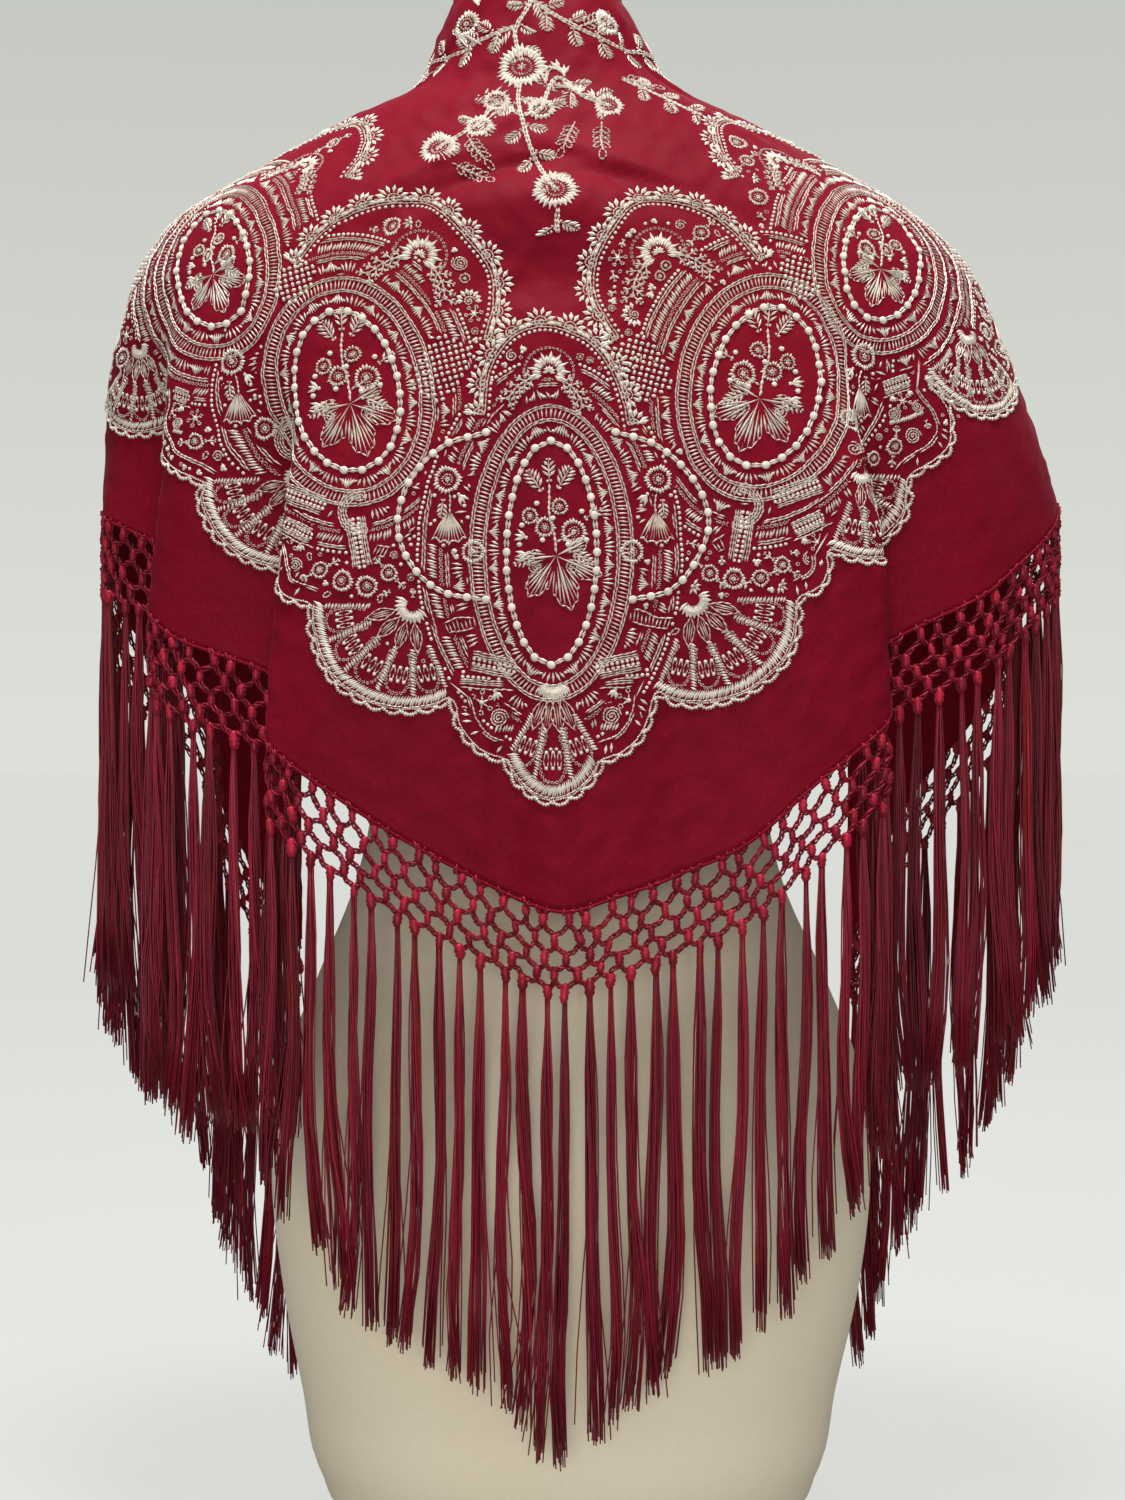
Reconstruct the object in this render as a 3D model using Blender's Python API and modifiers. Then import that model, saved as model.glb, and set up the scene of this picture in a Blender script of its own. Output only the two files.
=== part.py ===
"""A fringed flamenco shawl worn by a limbless dress form.

Metres, +Z up. The form stands on z = 0 at the origin. The shawl's long back point hangs
towards -Y, and its two ends hang at the front, towards +Y. Angles run round the form in
degrees from the back point, positive towards +X.
"""

import math

import bmesh
import bpy
import numpy as np

# Driving dimensions
CLOTH_WALL = 0.0012  # wall of the shawl's cloth
NET_WALL = 0.0016  # wall of the knotted net
SEAM_GAP = 0.0003  # least gap between touching pieces
NET_DROP = 3.2  # seam gaps between the cloth and the net, so that its leaning wall clears
NET_DEPTH = 0.046  # the knotted net, from the cloth's edge down
RAIL_HEIGHT = 0.0030  # narrow strip under the net that the strands grow from
RAIL_WALL = 0.0022
RAIL_DROP = 3.8  # seam gaps between the net and the strip
STRAND_WIDTH = 0.0040
STRAND_FLARE = 1.25  # how much wider a strand's free end is than its root
STRAND_PITCH = 0.0108  # along the level, with part of the slope's rise counted in
RISE_SHARE = 0.45  # the part of the rise that counts
COLLAR_BACK_Z = 0.828  # the cloth's top edge behind the neck
COLLAR_DROP = 0.074  # how far that edge falls towards the front
COLLAR_CURVE = 5.0
END_ANGLE = 131.0  # where the two front edges hang
ROUNDNESS = 2.25  # exponent of the plan curves, 2 for an ellipse
HALF_COLUMNS = 33  # of the cloth's grid, on each side of the back point
FOLD_DENSITY = 60.0  # how much closer the columns lie where a fold turns
CLOTH_ROWS = 19
ROW_CROWDING = 1.15  # over 1 puts the rows closer together at the collar
FORM_SIDES = 32


def table(names, rows):
    """Rows of numbers as named columns."""
    return dict(zip(names.split(), np.array(rows).T))


# The shawl's plan at each height: its centre on X, half width, and its depth behind the
# axis and in front of it
DRAPE = table("z centre half_width back front", [
    (0.848, -0.018, 0.0350, 0.0380, 0.0340),
    (0.830, -0.018, 0.0385, 0.0415, 0.0370),
    (0.816, -0.017, 0.0440, 0.0450, 0.0400),
    (0.800, -0.016, 0.0520, 0.0520, 0.0460),
    (0.785, -0.015, 0.0590, 0.0570, 0.0510),
    (0.770, -0.014, 0.0655, 0.0610, 0.0550),
    (0.758, -0.013, 0.0790, 0.0650, 0.0590),
    (0.746, -0.014, 0.1060, 0.0710, 0.0640),
    (0.730, -0.012, 0.1370, 0.0790, 0.0730),
    (0.713, -0.011, 0.1675, 0.0880, 0.0850),
    (0.694, -0.011, 0.1980, 0.0980, 0.1000),
    (0.670, -0.008, 0.2200, 0.1070, 0.1180),
    (0.632, -0.005, 0.2350, 0.1170, 0.1380),
    (0.600, -0.002, 0.2430, 0.1220, 0.1500),
    (0.560, 0.003, 0.2500, 0.1270, 0.1600),
    (0.520, 0.005, 0.2570, 0.1310, 0.1660),
    (0.450, 0.004, 0.2620, 0.1350, 0.1710),
    (0.280, 0.004, 0.2620, 0.1400, 0.1730),
])

# The form's plan at each height, leaning a little to the left towards its neck
FORM = table("z centre half_width back front", [
    (0.8480, -0.017, 0.0200, 0.0220, 0.0200),
    (0.8460, -0.017, 0.0270, 0.0300, 0.0270),
    (0.8400, -0.017, 0.0315, 0.0345, 0.0310),
    (0.816, -0.016, 0.0365, 0.0390, 0.0350),
    (0.795, -0.015, 0.0440, 0.0455, 0.0400),
    (0.770, -0.014, 0.0510, 0.0530, 0.0470),
    (0.758, -0.013, 0.0640, 0.0575, 0.0510),
    (0.746, -0.013, 0.0980, 0.0640, 0.0570),
    (0.730, -0.012, 0.1320, 0.0725, 0.0665),
    (0.713, -0.011, 0.1630, 0.0820, 0.0780),
    (0.694, -0.010, 0.1870, 0.0910, 0.0900),
    (0.670, -0.008, 0.1960, 0.0985, 0.1000),
    (0.640, -0.006, 0.1870, 0.1040, 0.1100),
    (0.600, -0.005, 0.1670, 0.1060, 0.1210),
    (0.545, -0.004, 0.1480, 0.1010, 0.1290),
    (0.485, -0.003, 0.1270, 0.0900, 0.1080),
    (0.430, -0.001, 0.1110, 0.0810, 0.0900),
    (0.385, 0.0, 0.1060, 0.0780, 0.0840),
    (0.340, 0.0, 0.1150, 0.0850, 0.0880),
    (0.290, 0.001, 0.1360, 0.0990, 0.0970),
    (0.240, 0.001, 0.1550, 0.1110, 0.1050),
    (0.190, 0.001, 0.1605, 0.1160, 0.1080),
    (0.130, 0.001, 0.1550, 0.1130, 0.1050),
    (0.071, 0.0, 0.1430, 0.1050, 0.0980),
    (0.028, 0.0, 0.1336, 0.0980, 0.0920),
    (0.007, 0.0, 0.1200, 0.0880, 0.0830),
    (0.000, 0.0, 0.1060, 0.0770, 0.0730),
])

# Height of the shawl's cut edge at each angle, from the left end to the right end
EDGE = table("angle z", [
    (-131.0, 0.292), (-124.0, 0.352), (-116.0, 0.412), (-107.0, 0.468), (-98.0, 0.512),
    (-90.0, 0.535), (-82.0, 0.532), (-74.0, 0.505), (-66.0, 0.474), (-57.0, 0.444),
    (-49.0, 0.414), (-42.0, 0.394), (-32.0, 0.369), (-21.0, 0.350), (-10.0, 0.3370),
    (-3.0, 0.3330), (8.0, 0.3400), (20.0, 0.3500), (31.0, 0.3660), (40.0, 0.3960),
    (49.0, 0.4240), (57.0, 0.4540), (65.0, 0.4840), (74.0, 0.5140), (84.0, 0.5400),
    (91.0, 0.5420), (99.0, 0.5200), (107.0, 0.4720), (116.0, 0.4140), (124.0, 0.3530),
    (131.0, 0.2930),
])

# Length of the strands at each angle
STRANDS = table("angle length", [
    (-131.0, 0.222), (-105.0, 0.214), (-85.0, 0.206), (-62.0, 0.198), (-50.0, 0.174),
    (-42.0, 0.198), (-30.0, 0.207), (-12.0, 0.213), (-3.0, 0.227), (8.0, 0.213),
    (20.0, 0.204), (40.0, 0.198), (50.0, 0.174), (62.0, 0.192), (85.0, 0.194),
    (105.0, 0.208), (131.0, 0.220),
])

# Folds: where the ridge or valley lies, how far it reaches to the left and to the right
# of there, how far it stands out from the plan, how far it leans towards +X round the
# form, and the heights where it starts and where it is full
FOLDS = table("angle left right out lean start full", [
    (-48.0, 7.0, 26.0, 0.0130, -0.0050, 0.640, 0.480),
    (-57.0, 8.0, 8.0, -0.0260, 0.0040, 0.630, 0.500),
    (-67.0, 6.0, 10.0, 0.0060, -0.0040, 0.690, 0.560),
    (-75.0, 8.0, 8.0, -0.0280, 0.0020, 0.660, 0.540),
    (-101.0, 11.0, 11.0, 0.0080, 0.0, 0.640, 0.480),
    (-113.0, 9.0, 9.0, -0.0140, 0.0, 0.640, 0.480),
    (-123.0, 8.0, 8.0, 0.0080, 0.0, 0.600, 0.440),
    (-14.0, 14.0, 14.0, -0.0040, 0.0, 0.520, 0.380),
    (-6.0, 9.0, 10.0, 0.0040, 0.0, 0.500, 0.380),
    (20.0, 16.0, 14.0, -0.0050, 0.0, 0.560, 0.400),
    (48.0, 26.0, 7.0, 0.0130, 0.0050, 0.650, 0.480),
    (58.0, 8.0, 10.0, -0.0280, -0.0040, 0.640, 0.500),
    (80.0, 12.0, 12.0, 0.0050, 0.0, 0.660, 0.520),
    (97.0, 10.0, 12.0, -0.0120, 0.0, 0.640, 0.500),
    (110.0, 10.0, 10.0, 0.0100, 0.0, 0.640, 0.480),
    (122.0, 8.0, 9.0, -0.0100, 0.0, 0.600, 0.440),
])

COLOURS = {
    "silk": (0.33, 0.006, 0.028, 1.0),
    "thread": (0.27, 0.004, 0.022, 1.0),
    "form": (0.72, 0.61, 0.45, 1.0),
}


def clear_scene():
    for item in list(bpy.data.objects):
        bpy.data.objects.remove(item, do_unlink=True)


def smooth_lookup(at, columns, along, name):
    """Smooth curve through a table's points, with each knot's slope from its neighbours."""
    knots, values = columns[along], columns[name]
    if knots[0] > knots[-1]:
        knots, values = knots[::-1], values[::-1]
    slopes = np.gradient(values, knots)
    at = np.clip(at, knots[0], knots[-1])
    cell = np.clip(np.searchsorted(knots, at) - 1, 0, len(knots) - 2)
    width = knots[cell + 1] - knots[cell]
    t = (at - knots[cell]) / width
    rise = t * t * (3 - 2 * t)
    return (
        values[cell] * (1 - rise)
        + values[cell + 1] * rise
        + slopes[cell] * width * t * (1 - t) ** 2
        - slopes[cell + 1] * width * t * t * (1 - t)
    )


def plan_radius(angle, half_width, back, front):
    """Distance from the centre to a plan curve whose back and front halves differ."""
    cosine = np.cos(angle)
    depth = np.where(cosine > 0, back, front)
    across = np.abs(np.sin(angle)) / half_width
    along = np.abs(cosine) / depth
    return (across**ROUNDNESS + along**ROUNDNESS) ** (-1 / ROUNDNESS)


def ease(t):
    t = np.clip(t, 0, 1)
    return t * t * (3 - 2 * t)


def fold_offsets(angle, z):
    """How far the folds move a point out from the plan and round it."""
    degrees = np.degrees(angle)
    out = np.zeros_like(degrees)
    lean = np.zeros_like(degrees)
    for centre, left, right, height, sideways, start, full in zip(*FOLDS.values()):
        reach = np.where(degrees < centre, left, right)
        across = np.clip((degrees - centre) / reach, -1, 1)
        share = np.cos(across * math.pi / 2) ** 2 * ease((start - z) / (start - full))
        out += height * share
        lean += sideways * share
    return out, lean


def drape(angle, z):
    """A point of the shawl's outer face at an angle and a height."""
    centre, half_width, back, front = (
        smooth_lookup(z, DRAPE, "z", name) for name in ("centre", "half_width", "back", "front")
    )
    out, lean = fold_offsets(angle, z)
    reach = plan_radius(angle, half_width, back, front) + out
    x = centre + reach * np.sin(angle) + lean * np.cos(angle)
    y = -reach * np.cos(angle) + lean * np.sin(angle)
    return np.stack([x, y, z], axis=-1)


def edge_height(angle):
    return smooth_lookup(np.degrees(angle), EDGE, "angle", "z")


def edge_point(angle):
    return drape(angle, edge_height(angle))


def collar_height(angle):
    share = np.abs(np.degrees(angle)) / END_ANGLE
    return COLLAR_BACK_Z - COLLAR_DROP * share**COLLAR_CURVE


def column_heights(angle, shares):
    """Heights that split each column, from the collar to the cut edge, by its length."""
    steps = np.linspace(0, 1, 161)
    top, bottom = collar_height(angle), edge_height(angle)
    z = top[:, None] + (bottom - top)[:, None] * steps
    points = drape(np.repeat(angle[:, None], len(steps), axis=1), z)
    lengths = np.linalg.norm(np.diff(points, axis=1), axis=2)
    run = np.cumsum(np.pad(lengths, ((0, 0), (1, 0))), axis=1)
    return np.array([np.interp(shares * r[-1], r, level) for r, level in zip(run, z)])


def half_columns(side):
    """One half of the cloth's columns, closer together where the folds turn."""
    fine = side * np.linspace(0, END_ANGLE, 2001)
    density = np.ones_like(fine)
    for centre, left, right, height, *_ in zip(*FOLDS.values()):
        nearness = np.exp(-(((fine - centre) / (left + right)) ** 2) * 8)
        density += FOLD_DENSITY * abs(height) * nearness
    run = np.concatenate([[0], np.cumsum((density[1:] + density[:-1]) / 2)])
    stops = np.linspace(0, run[-1], HALF_COLUMNS + 1)
    return np.radians(side * np.interp(stops, run, side * fine))


def edge_run(points):
    """Run along a line of points: the level distance and part of the rise."""
    steps = np.diff(points, axis=0)
    lengths = np.hypot(np.hypot(steps[:, 0], steps[:, 1]), RISE_SHARE * steps[:, 2])
    return np.concatenate([[0], np.cumsum(lengths)])


def seam_drop(points):
    """How far below a line of points a piece starts, to be the seam gap away from it."""
    slope = np.gradient(points, axis=0)
    level = np.hypot(slope[:, 0], slope[:, 1])
    return SEAM_GAP * np.sqrt(1 + (slope[:, 2] / level) ** 2)


def material(name, colour, roughness):
    made = bpy.data.materials.new(name)
    made.use_nodes = True
    shader = made.node_tree.nodes["Principled BSDF"]
    shader.inputs["Base Color"].default_value = colour
    shader.inputs["Roughness"].default_value = roughness
    shader.inputs["Metallic"].default_value = 0.0
    return made


def add_object(name, shape, collection, finish):
    mesh = bpy.data.meshes.new(name)
    shape.to_mesh(mesh)
    shape.free()
    mesh.materials.append(finish)
    mesh.shade_smooth()
    thing = bpy.data.objects.new(name, mesh)
    collection.objects.link(thing)
    return thing


def hang_grid(name, points, wall, collection, finish):
    """A wall whose outer face runs through points, an array of columns from the top down."""
    columns, rows = points.shape[0] - 1, points.shape[1] - 1
    shape = bmesh.new()
    bmesh.ops.create_grid(shape, x_segments=columns, y_segments=rows, size=1)
    for vertex in shape.verts:
        column = round((vertex.co.x + 1) / 2 * columns)
        row = round((1 - vertex.co.y) / 2 * rows)
        vertex.co = points[column, row]
    thing = add_object(name, shape, collection, finish)
    solid = thing.modifiers.new("wall", "SOLIDIFY")
    solid.thickness = wall
    solid.offset = -1
    return thing


def make_cloth(collection, finish):
    """The shawl's one piece of cloth, from its collar to its cut edge."""
    angle = np.concatenate([half_columns(-1)[:0:-1], half_columns(1)])
    shares = np.linspace(0, 1, CLOTH_ROWS + 1) ** ROW_CROWDING
    points = drape(
        np.repeat(angle[:, None], len(shares), axis=1), column_heights(angle, shares)
    )
    return hang_grid("shawl_cloth", points, CLOTH_WALL, collection, finish)


def make_net(name, side, collection, finish):
    """Half of the knotted net, a plain band under the cut edge."""
    top = edge_point(half_columns(side))
    top[0] += (top[1] - top[0]) * SEAM_GAP / np.linalg.norm(top[1] - top[0])
    bottom = top - [0, 0, NET_DEPTH]
    top[:, 2] -= NET_DROP * seam_drop(top)
    points = np.stack([top, bottom], axis=1)
    return hang_grid(name, points[::side], NET_WALL, collection, finish)


def make_fringe(name, side, collection, finish):
    """Half of the fringe: a narrow strip under the net, and the strands that it carries."""
    line = edge_point(half_columns(side))
    run = edge_run(line)
    count = round(run[-1] / STRAND_PITCH)
    # Two stops for each strand, and half a gap at both ends of the strip
    centres = (np.arange(count) + 0.5) * run[-1] / count
    stops = np.sort(np.concatenate([centres - STRAND_WIDTH / 2, centres + STRAND_WIDTH / 2]))
    stops = np.concatenate([[SEAM_GAP], stops, [run[-1]]])
    spans = len(stops) - 1
    outer = np.stack([np.interp(stops, run, line[:, axis]) for axis in range(3)], axis=-1)
    tangent = np.gradient(outer[:, :2], axis=0)
    across = np.stack([-tangent[:, 1], tangent[:, 0]], axis=-1) * side
    across /= np.linalg.norm(across, axis=1)[:, None]
    top = outer[:, 2] - NET_DEPTH - RAIL_DROP * seam_drop(outer)

    # A square bar cut into spans, then bent along the net's lower edge
    shape = bmesh.new()
    bmesh.ops.create_cube(shape, size=2)
    long_edges = [e for e in shape.edges if abs(e.verts[0].co.x - e.verts[1].co.x) > 1]
    bmesh.ops.subdivide_edges(shape, edges=long_edges, cuts=spans - 1, use_grid_fill=True)
    roots = []
    for face in shape.faces:
        if face.normal.z < -0.5:
            column = round((face.calc_center_median().x + 1) / 2 * spans - 0.5)
            if column % 2:
                roots.append(face)
    for vertex in shape.verts:
        column = round((vertex.co.x + 1) / 2 * spans)
        flat = outer[column, :2] + across[column] * (RAIL_WALL if vertex.co.y > 0 else 0)
        level = top[column] - (RAIL_HEIGHT if vertex.co.z < 0 else 0)
        vertex.co = (flat[0], flat[1], level)
    grown = bmesh.ops.extrude_discrete_faces(shape, faces=roots)
    for face in grown["faces"]:
        middle = face.calc_center_median()
        turn = math.degrees(math.atan2(middle.x, -middle.y))
        drop = float(smooth_lookup(turn, STRANDS, "angle", "length"))
        for vertex in face.verts:
            spread = (vertex.co - middle) * STRAND_FLARE
            vertex.co = (middle.x + spread.x, middle.y + spread.y, middle.z - drop)
    bmesh.ops.recalc_face_normals(shape, faces=shape.faces)
    return add_object(name, shape, collection, finish)


def make_form(collection, finish):
    """The dress form: a sphere's net of points, carried to the plan curves."""
    rows = len(FORM["z"]) + 1
    shape = bmesh.new()
    bmesh.ops.create_uvsphere(shape, u_segments=FORM_SIDES, v_segments=rows, radius=1)
    for vertex in shape.verts:
        flat = math.hypot(vertex.co.x, vertex.co.y)
        row = round(math.atan2(flat, vertex.co.z) / math.pi * rows)
        ring = min(max(row - 1, 0), rows - 2)
        z, centre, half_width, back, front = (column[ring] for column in FORM.values())
        if row in (0, rows):
            vertex.co = (centre, 0, z)
            continue
        angle = math.atan2(vertex.co.x, -vertex.co.y)
        reach = float(plan_radius(angle, half_width, back, front))
        vertex.co = (centre + reach * math.sin(angle), -reach * math.cos(angle), z)
    form = add_object("dress_form", shape, collection, finish)
    form.data.set_sharp_from_angle(angle=math.radians(40))
    return form


def main():
    clear_scene()
    collection = bpy.data.collections.new("flamenco shawl")
    bpy.context.scene.collection.children.link(collection)
    silk = material("silk", COLOURS["silk"], 0.5)
    thread = material("thread", COLOURS["thread"], 0.4)
    linen = material("form", COLOURS["form"], 0.35)
    make_cloth(collection, silk)
    for name, side in (("left", -1), ("right", 1)):
        make_net(f"net_{name}", side, collection, thread)
        make_fringe(f"fringe_{name}", side, collection, thread)
    make_form(collection, linen)


main()
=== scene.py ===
import math

import bpy
import numpy as np
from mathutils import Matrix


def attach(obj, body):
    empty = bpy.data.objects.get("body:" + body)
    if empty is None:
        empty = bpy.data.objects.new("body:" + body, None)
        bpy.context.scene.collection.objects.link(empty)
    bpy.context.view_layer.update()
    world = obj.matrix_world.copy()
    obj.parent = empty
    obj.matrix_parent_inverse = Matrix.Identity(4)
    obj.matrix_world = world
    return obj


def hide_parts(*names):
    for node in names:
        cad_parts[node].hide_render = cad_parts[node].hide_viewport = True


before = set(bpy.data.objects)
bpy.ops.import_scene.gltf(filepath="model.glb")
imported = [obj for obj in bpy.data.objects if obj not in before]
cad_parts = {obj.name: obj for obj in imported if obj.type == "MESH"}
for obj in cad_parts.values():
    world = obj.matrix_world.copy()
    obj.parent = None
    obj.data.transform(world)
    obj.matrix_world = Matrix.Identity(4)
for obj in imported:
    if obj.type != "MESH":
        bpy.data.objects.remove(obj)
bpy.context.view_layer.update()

# Fringed silk shawl on its dress form. Metres, +Z up. Angles run round the form in
# degrees from the back point at -Y, positive towards +X.

mm = 0.001


def columnsOf(names, rows):
    # rows of numbers as named columns
    return dict(zip(names.split(), np.array(rows, float).T))


# the shawl's plan at each height: its centre on X, half width, and depth behind and in front
drapeTable = columnsOf("z centre halfWidth back front", [
    (0.848, -0.018, 0.0350, 0.0380, 0.0340),
    (0.830, -0.018, 0.0385, 0.0415, 0.0370),
    (0.816, -0.017, 0.0440, 0.0450, 0.0400),
    (0.800, -0.016, 0.0520, 0.0520, 0.0460),
    (0.785, -0.015, 0.0590, 0.0570, 0.0510),
    (0.770, -0.014, 0.0655, 0.0610, 0.0550),
    (0.758, -0.013, 0.0790, 0.0650, 0.0590),
    (0.746, -0.014, 0.1060, 0.0710, 0.0640),
    (0.730, -0.012, 0.1370, 0.0790, 0.0730),
    (0.713, -0.011, 0.1675, 0.0880, 0.0850),
    (0.694, -0.011, 0.1980, 0.0980, 0.1000),
    (0.670, -0.008, 0.2200, 0.1070, 0.1180),
    (0.632, -0.005, 0.2350, 0.1170, 0.1380),
    (0.600, -0.002, 0.2430, 0.1220, 0.1500),
    (0.560, 0.003, 0.2500, 0.1270, 0.1600),
    (0.520, 0.005, 0.2570, 0.1310, 0.1660),
    (0.450, 0.004, 0.2620, 0.1350, 0.1710),
    (0.280, 0.004, 0.2620, 0.1400, 0.1730),
])

# the form's plan, in the same columns
formTable = columnsOf("z centre halfWidth back front", [
    (0.8480, -0.017, 0.0200, 0.0220, 0.0200),
    (0.8460, -0.017, 0.0270, 0.0300, 0.0270),
    (0.8400, -0.017, 0.0315, 0.0345, 0.0310),
    (0.816, -0.016, 0.0365, 0.0390, 0.0350),
    (0.795, -0.015, 0.0440, 0.0455, 0.0400),
    (0.770, -0.014, 0.0510, 0.0530, 0.0470),
    (0.758, -0.013, 0.0640, 0.0575, 0.0510),
    (0.746, -0.013, 0.0980, 0.0640, 0.0570),
    (0.730, -0.012, 0.1320, 0.0725, 0.0665),
    (0.713, -0.011, 0.1630, 0.0820, 0.0780),
    (0.694, -0.010, 0.1870, 0.0910, 0.0900),
    (0.670, -0.008, 0.1960, 0.0985, 0.1000),
    (0.640, -0.006, 0.1870, 0.1040, 0.1100),
    (0.600, -0.005, 0.1670, 0.1060, 0.1210),
    (0.545, -0.004, 0.1480, 0.1010, 0.1290),
    (0.485, -0.003, 0.1270, 0.0900, 0.1080),
    (0.430, -0.001, 0.1110, 0.0810, 0.0900),
    (0.385, 0.0, 0.1060, 0.0780, 0.0840),
    (0.340, 0.0, 0.1150, 0.0850, 0.0880),
    (0.290, 0.001, 0.1360, 0.0990, 0.0970),
    (0.240, 0.001, 0.1550, 0.1110, 0.1050),
    (0.190, 0.001, 0.1605, 0.1160, 0.1080),
    (0.130, 0.001, 0.1550, 0.1130, 0.1050),
    (0.071, 0.0, 0.1430, 0.1050, 0.0980),
    (0.028, 0.0, 0.1336, 0.0980, 0.0920),
    (0.007, 0.0, 0.1200, 0.0880, 0.0830),
    (0.000, 0.0, 0.1060, 0.0770, 0.0730),
])

# height of the cut edge at each angle, from the left end to the right end
edgeTable = columnsOf("angle z", [
    (-131, 0.292), (-124, 0.352), (-116, 0.412), (-107, 0.468), (-98, 0.512),
    (-90, 0.535), (-82, 0.532), (-74, 0.505), (-66, 0.474), (-57, 0.444),
    (-49, 0.414), (-42, 0.394), (-32, 0.369), (-21, 0.350), (-10, 0.3370),
    (-3, 0.3330), (8, 0.3400), (20, 0.3500), (31, 0.3660), (40, 0.3960),
    (49, 0.4240), (57, 0.4540), (65, 0.4840), (74, 0.5140), (84, 0.5400),
    (91, 0.5420), (99, 0.5200), (107, 0.4720), (116, 0.4140), (124, 0.3530),
    (131, 0.2930),
])

# length of the strands at each angle
strandTable = columnsOf("angle length", [
    (-131, 0.222), (-105, 0.214), (-85, 0.206), (-62, 0.198), (-50, 0.174),
    (-42, 0.198), (-30, 0.207), (-12, 0.213), (-3, 0.227), (8, 0.213),
    (20, 0.204), (40, 0.198), (50, 0.174), (62, 0.192), (85, 0.194),
    (105, 0.208), (131, 0.220),
])

# folds: where each lies, how far it reaches left and right, stands out and leans towards
# +X round the form, and the heights where it starts and is full
foldTable = columnsOf("angle left right out lean start full", [
    (-48, 7, 26, 0.0130, -0.0050, 0.640, 0.480),
    (-57, 8, 8, -0.0260, 0.0040, 0.630, 0.500),
    (-67, 6, 10, 0.0060, -0.0040, 0.690, 0.560),
    (-75, 8, 8, -0.0280, 0.0020, 0.660, 0.540),
    (-101, 11, 11, 0.0080, 0, 0.640, 0.480),
    (-113, 9, 9, -0.0140, 0, 0.640, 0.480),
    (-123, 8, 8, 0.0080, 0, 0.600, 0.440),
    (-14, 14, 14, -0.0040, 0, 0.520, 0.380),
    (-6, 9, 10, 0.0040, 0, 0.500, 0.380),
    (20, 16, 14, -0.0050, 0, 0.560, 0.400),
    (48, 26, 7, 0.0130, 0.0050, 0.650, 0.480),
    (58, 8, 10, -0.0280, -0.0040, 0.640, 0.500),
    (80, 12, 12, 0.0050, 0, 0.660, 0.520),
    (97, 10, 12, -0.0120, 0, 0.640, 0.500),
    (110, 10, 10, 0.0100, 0, 0.640, 0.480),
    (122, 8, 9, -0.0100, 0, 0.600, 0.440),
])

# soft creases, ridges above zero and troughs below: where each lies, its turn from level
# in degrees, half length, half width, and how far it stands out
creaseTable = columnsOf("angle z turn reach width out", [
    (-3, 0.641, 0, 0.040, 0.0210, -0.0060),
    (-3, 0.683, 0, 0.044, 0.016, 0.0040),
    (-26, 0.690, 30, 0.048, 0.0055, -0.0029),
    (-33, 0.702, 34, 0.044, 0.0050, 0.0025),
    (-14, 0.700, 24, 0.036, 0.0045, -0.0022),
    (-20, 0.722, 38, 0.040, 0.0060, 0.0022),
    (16, 0.694, -22, 0.038, 0.0050, -0.0023),
    (27, 0.700, -34, 0.046, 0.0060, 0.0027),
    (35, 0.688, -28, 0.040, 0.0045, -0.0025),
    (62, 0.752, -70, 0.034, 0.0045, -0.0032),
    (72, 0.748, -62, 0.030, 0.0040, 0.0022),
    (-58, 0.760, 66, 0.030, 0.0045, -0.0025),
    (-38, 0.778, 72, 0.034, 0.0050, -0.0022),
    (44, 0.782, -75, 0.034, 0.0045, -0.0020),
    (-70, 0.786, 80, 0.030, 0.0050, -0.0027),
    (82, 0.790, -84, 0.032, 0.0050, -0.0029),
    (-17, 0.385, 88, 0.060, 0.0035, 0.0016),
    (-15, 0.390, 86, 0.064, 0.0028, -0.0014),
    (-30, 0.412, 80, 0.050, 0.0060, -0.0018),
    (-40, 0.436, 72, 0.048, 0.0060, 0.0016),
    (6, 0.400, 96, 0.046, 0.0070, -0.0014),
    (18, 0.412, 100, 0.052, 0.0060, 0.0014),
    (31, 0.430, 104, 0.060, 0.0050, -0.0016),
    (38, 0.456, 106, 0.056, 0.0060, 0.0018),
    (44, 0.500, 98, 0.050, 0.0050, -0.0012),
    (-48, 0.500, 84, 0.052, 0.0050, -0.0014),
    (66, 0.560, 94, 0.052, 0.0050, 0.0018),
    (73, 0.580, 98, 0.060, 0.0060, -0.0020),
    (-63, 0.560, 86, 0.050, 0.0050, 0.0016),
    (-84, 0.590, 84, 0.062, 0.0065, 0.0022),
    (-92, 0.600, 88, 0.050, 0.0050, -0.0018),
    (88, 0.600, 92, 0.058, 0.0060, -0.0022),
    (102, 0.560, 84, 0.060, 0.0055, 0.0018),
    (116, 0.520, 80, 0.070, 0.0060, -0.0020),
    (126, 0.470, 82, 0.060, 0.0050, 0.0014),
    (108, 0.660, 60, 0.044, 0.0060, -0.0020),
    (120, 0.640, 70, 0.050, 0.0060, 0.0018),
    (-104, 0.560, 96, 0.058, 0.0055, -0.0018),
    (-118, 0.500, 100, 0.070, 0.0060, 0.0018),
    (-127, 0.460, 98, 0.060, 0.0050, -0.0016),
    (-110, 0.664, 118, 0.044, 0.0060, 0.0018),
    (-121, 0.640, 110, 0.050, 0.0060, -0.0018),
    (100, 0.760, 50, 0.030, 0.0050, -0.0012),
    (-102, 0.760, 128, 0.030, 0.0050, -0.0012),
])

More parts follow.
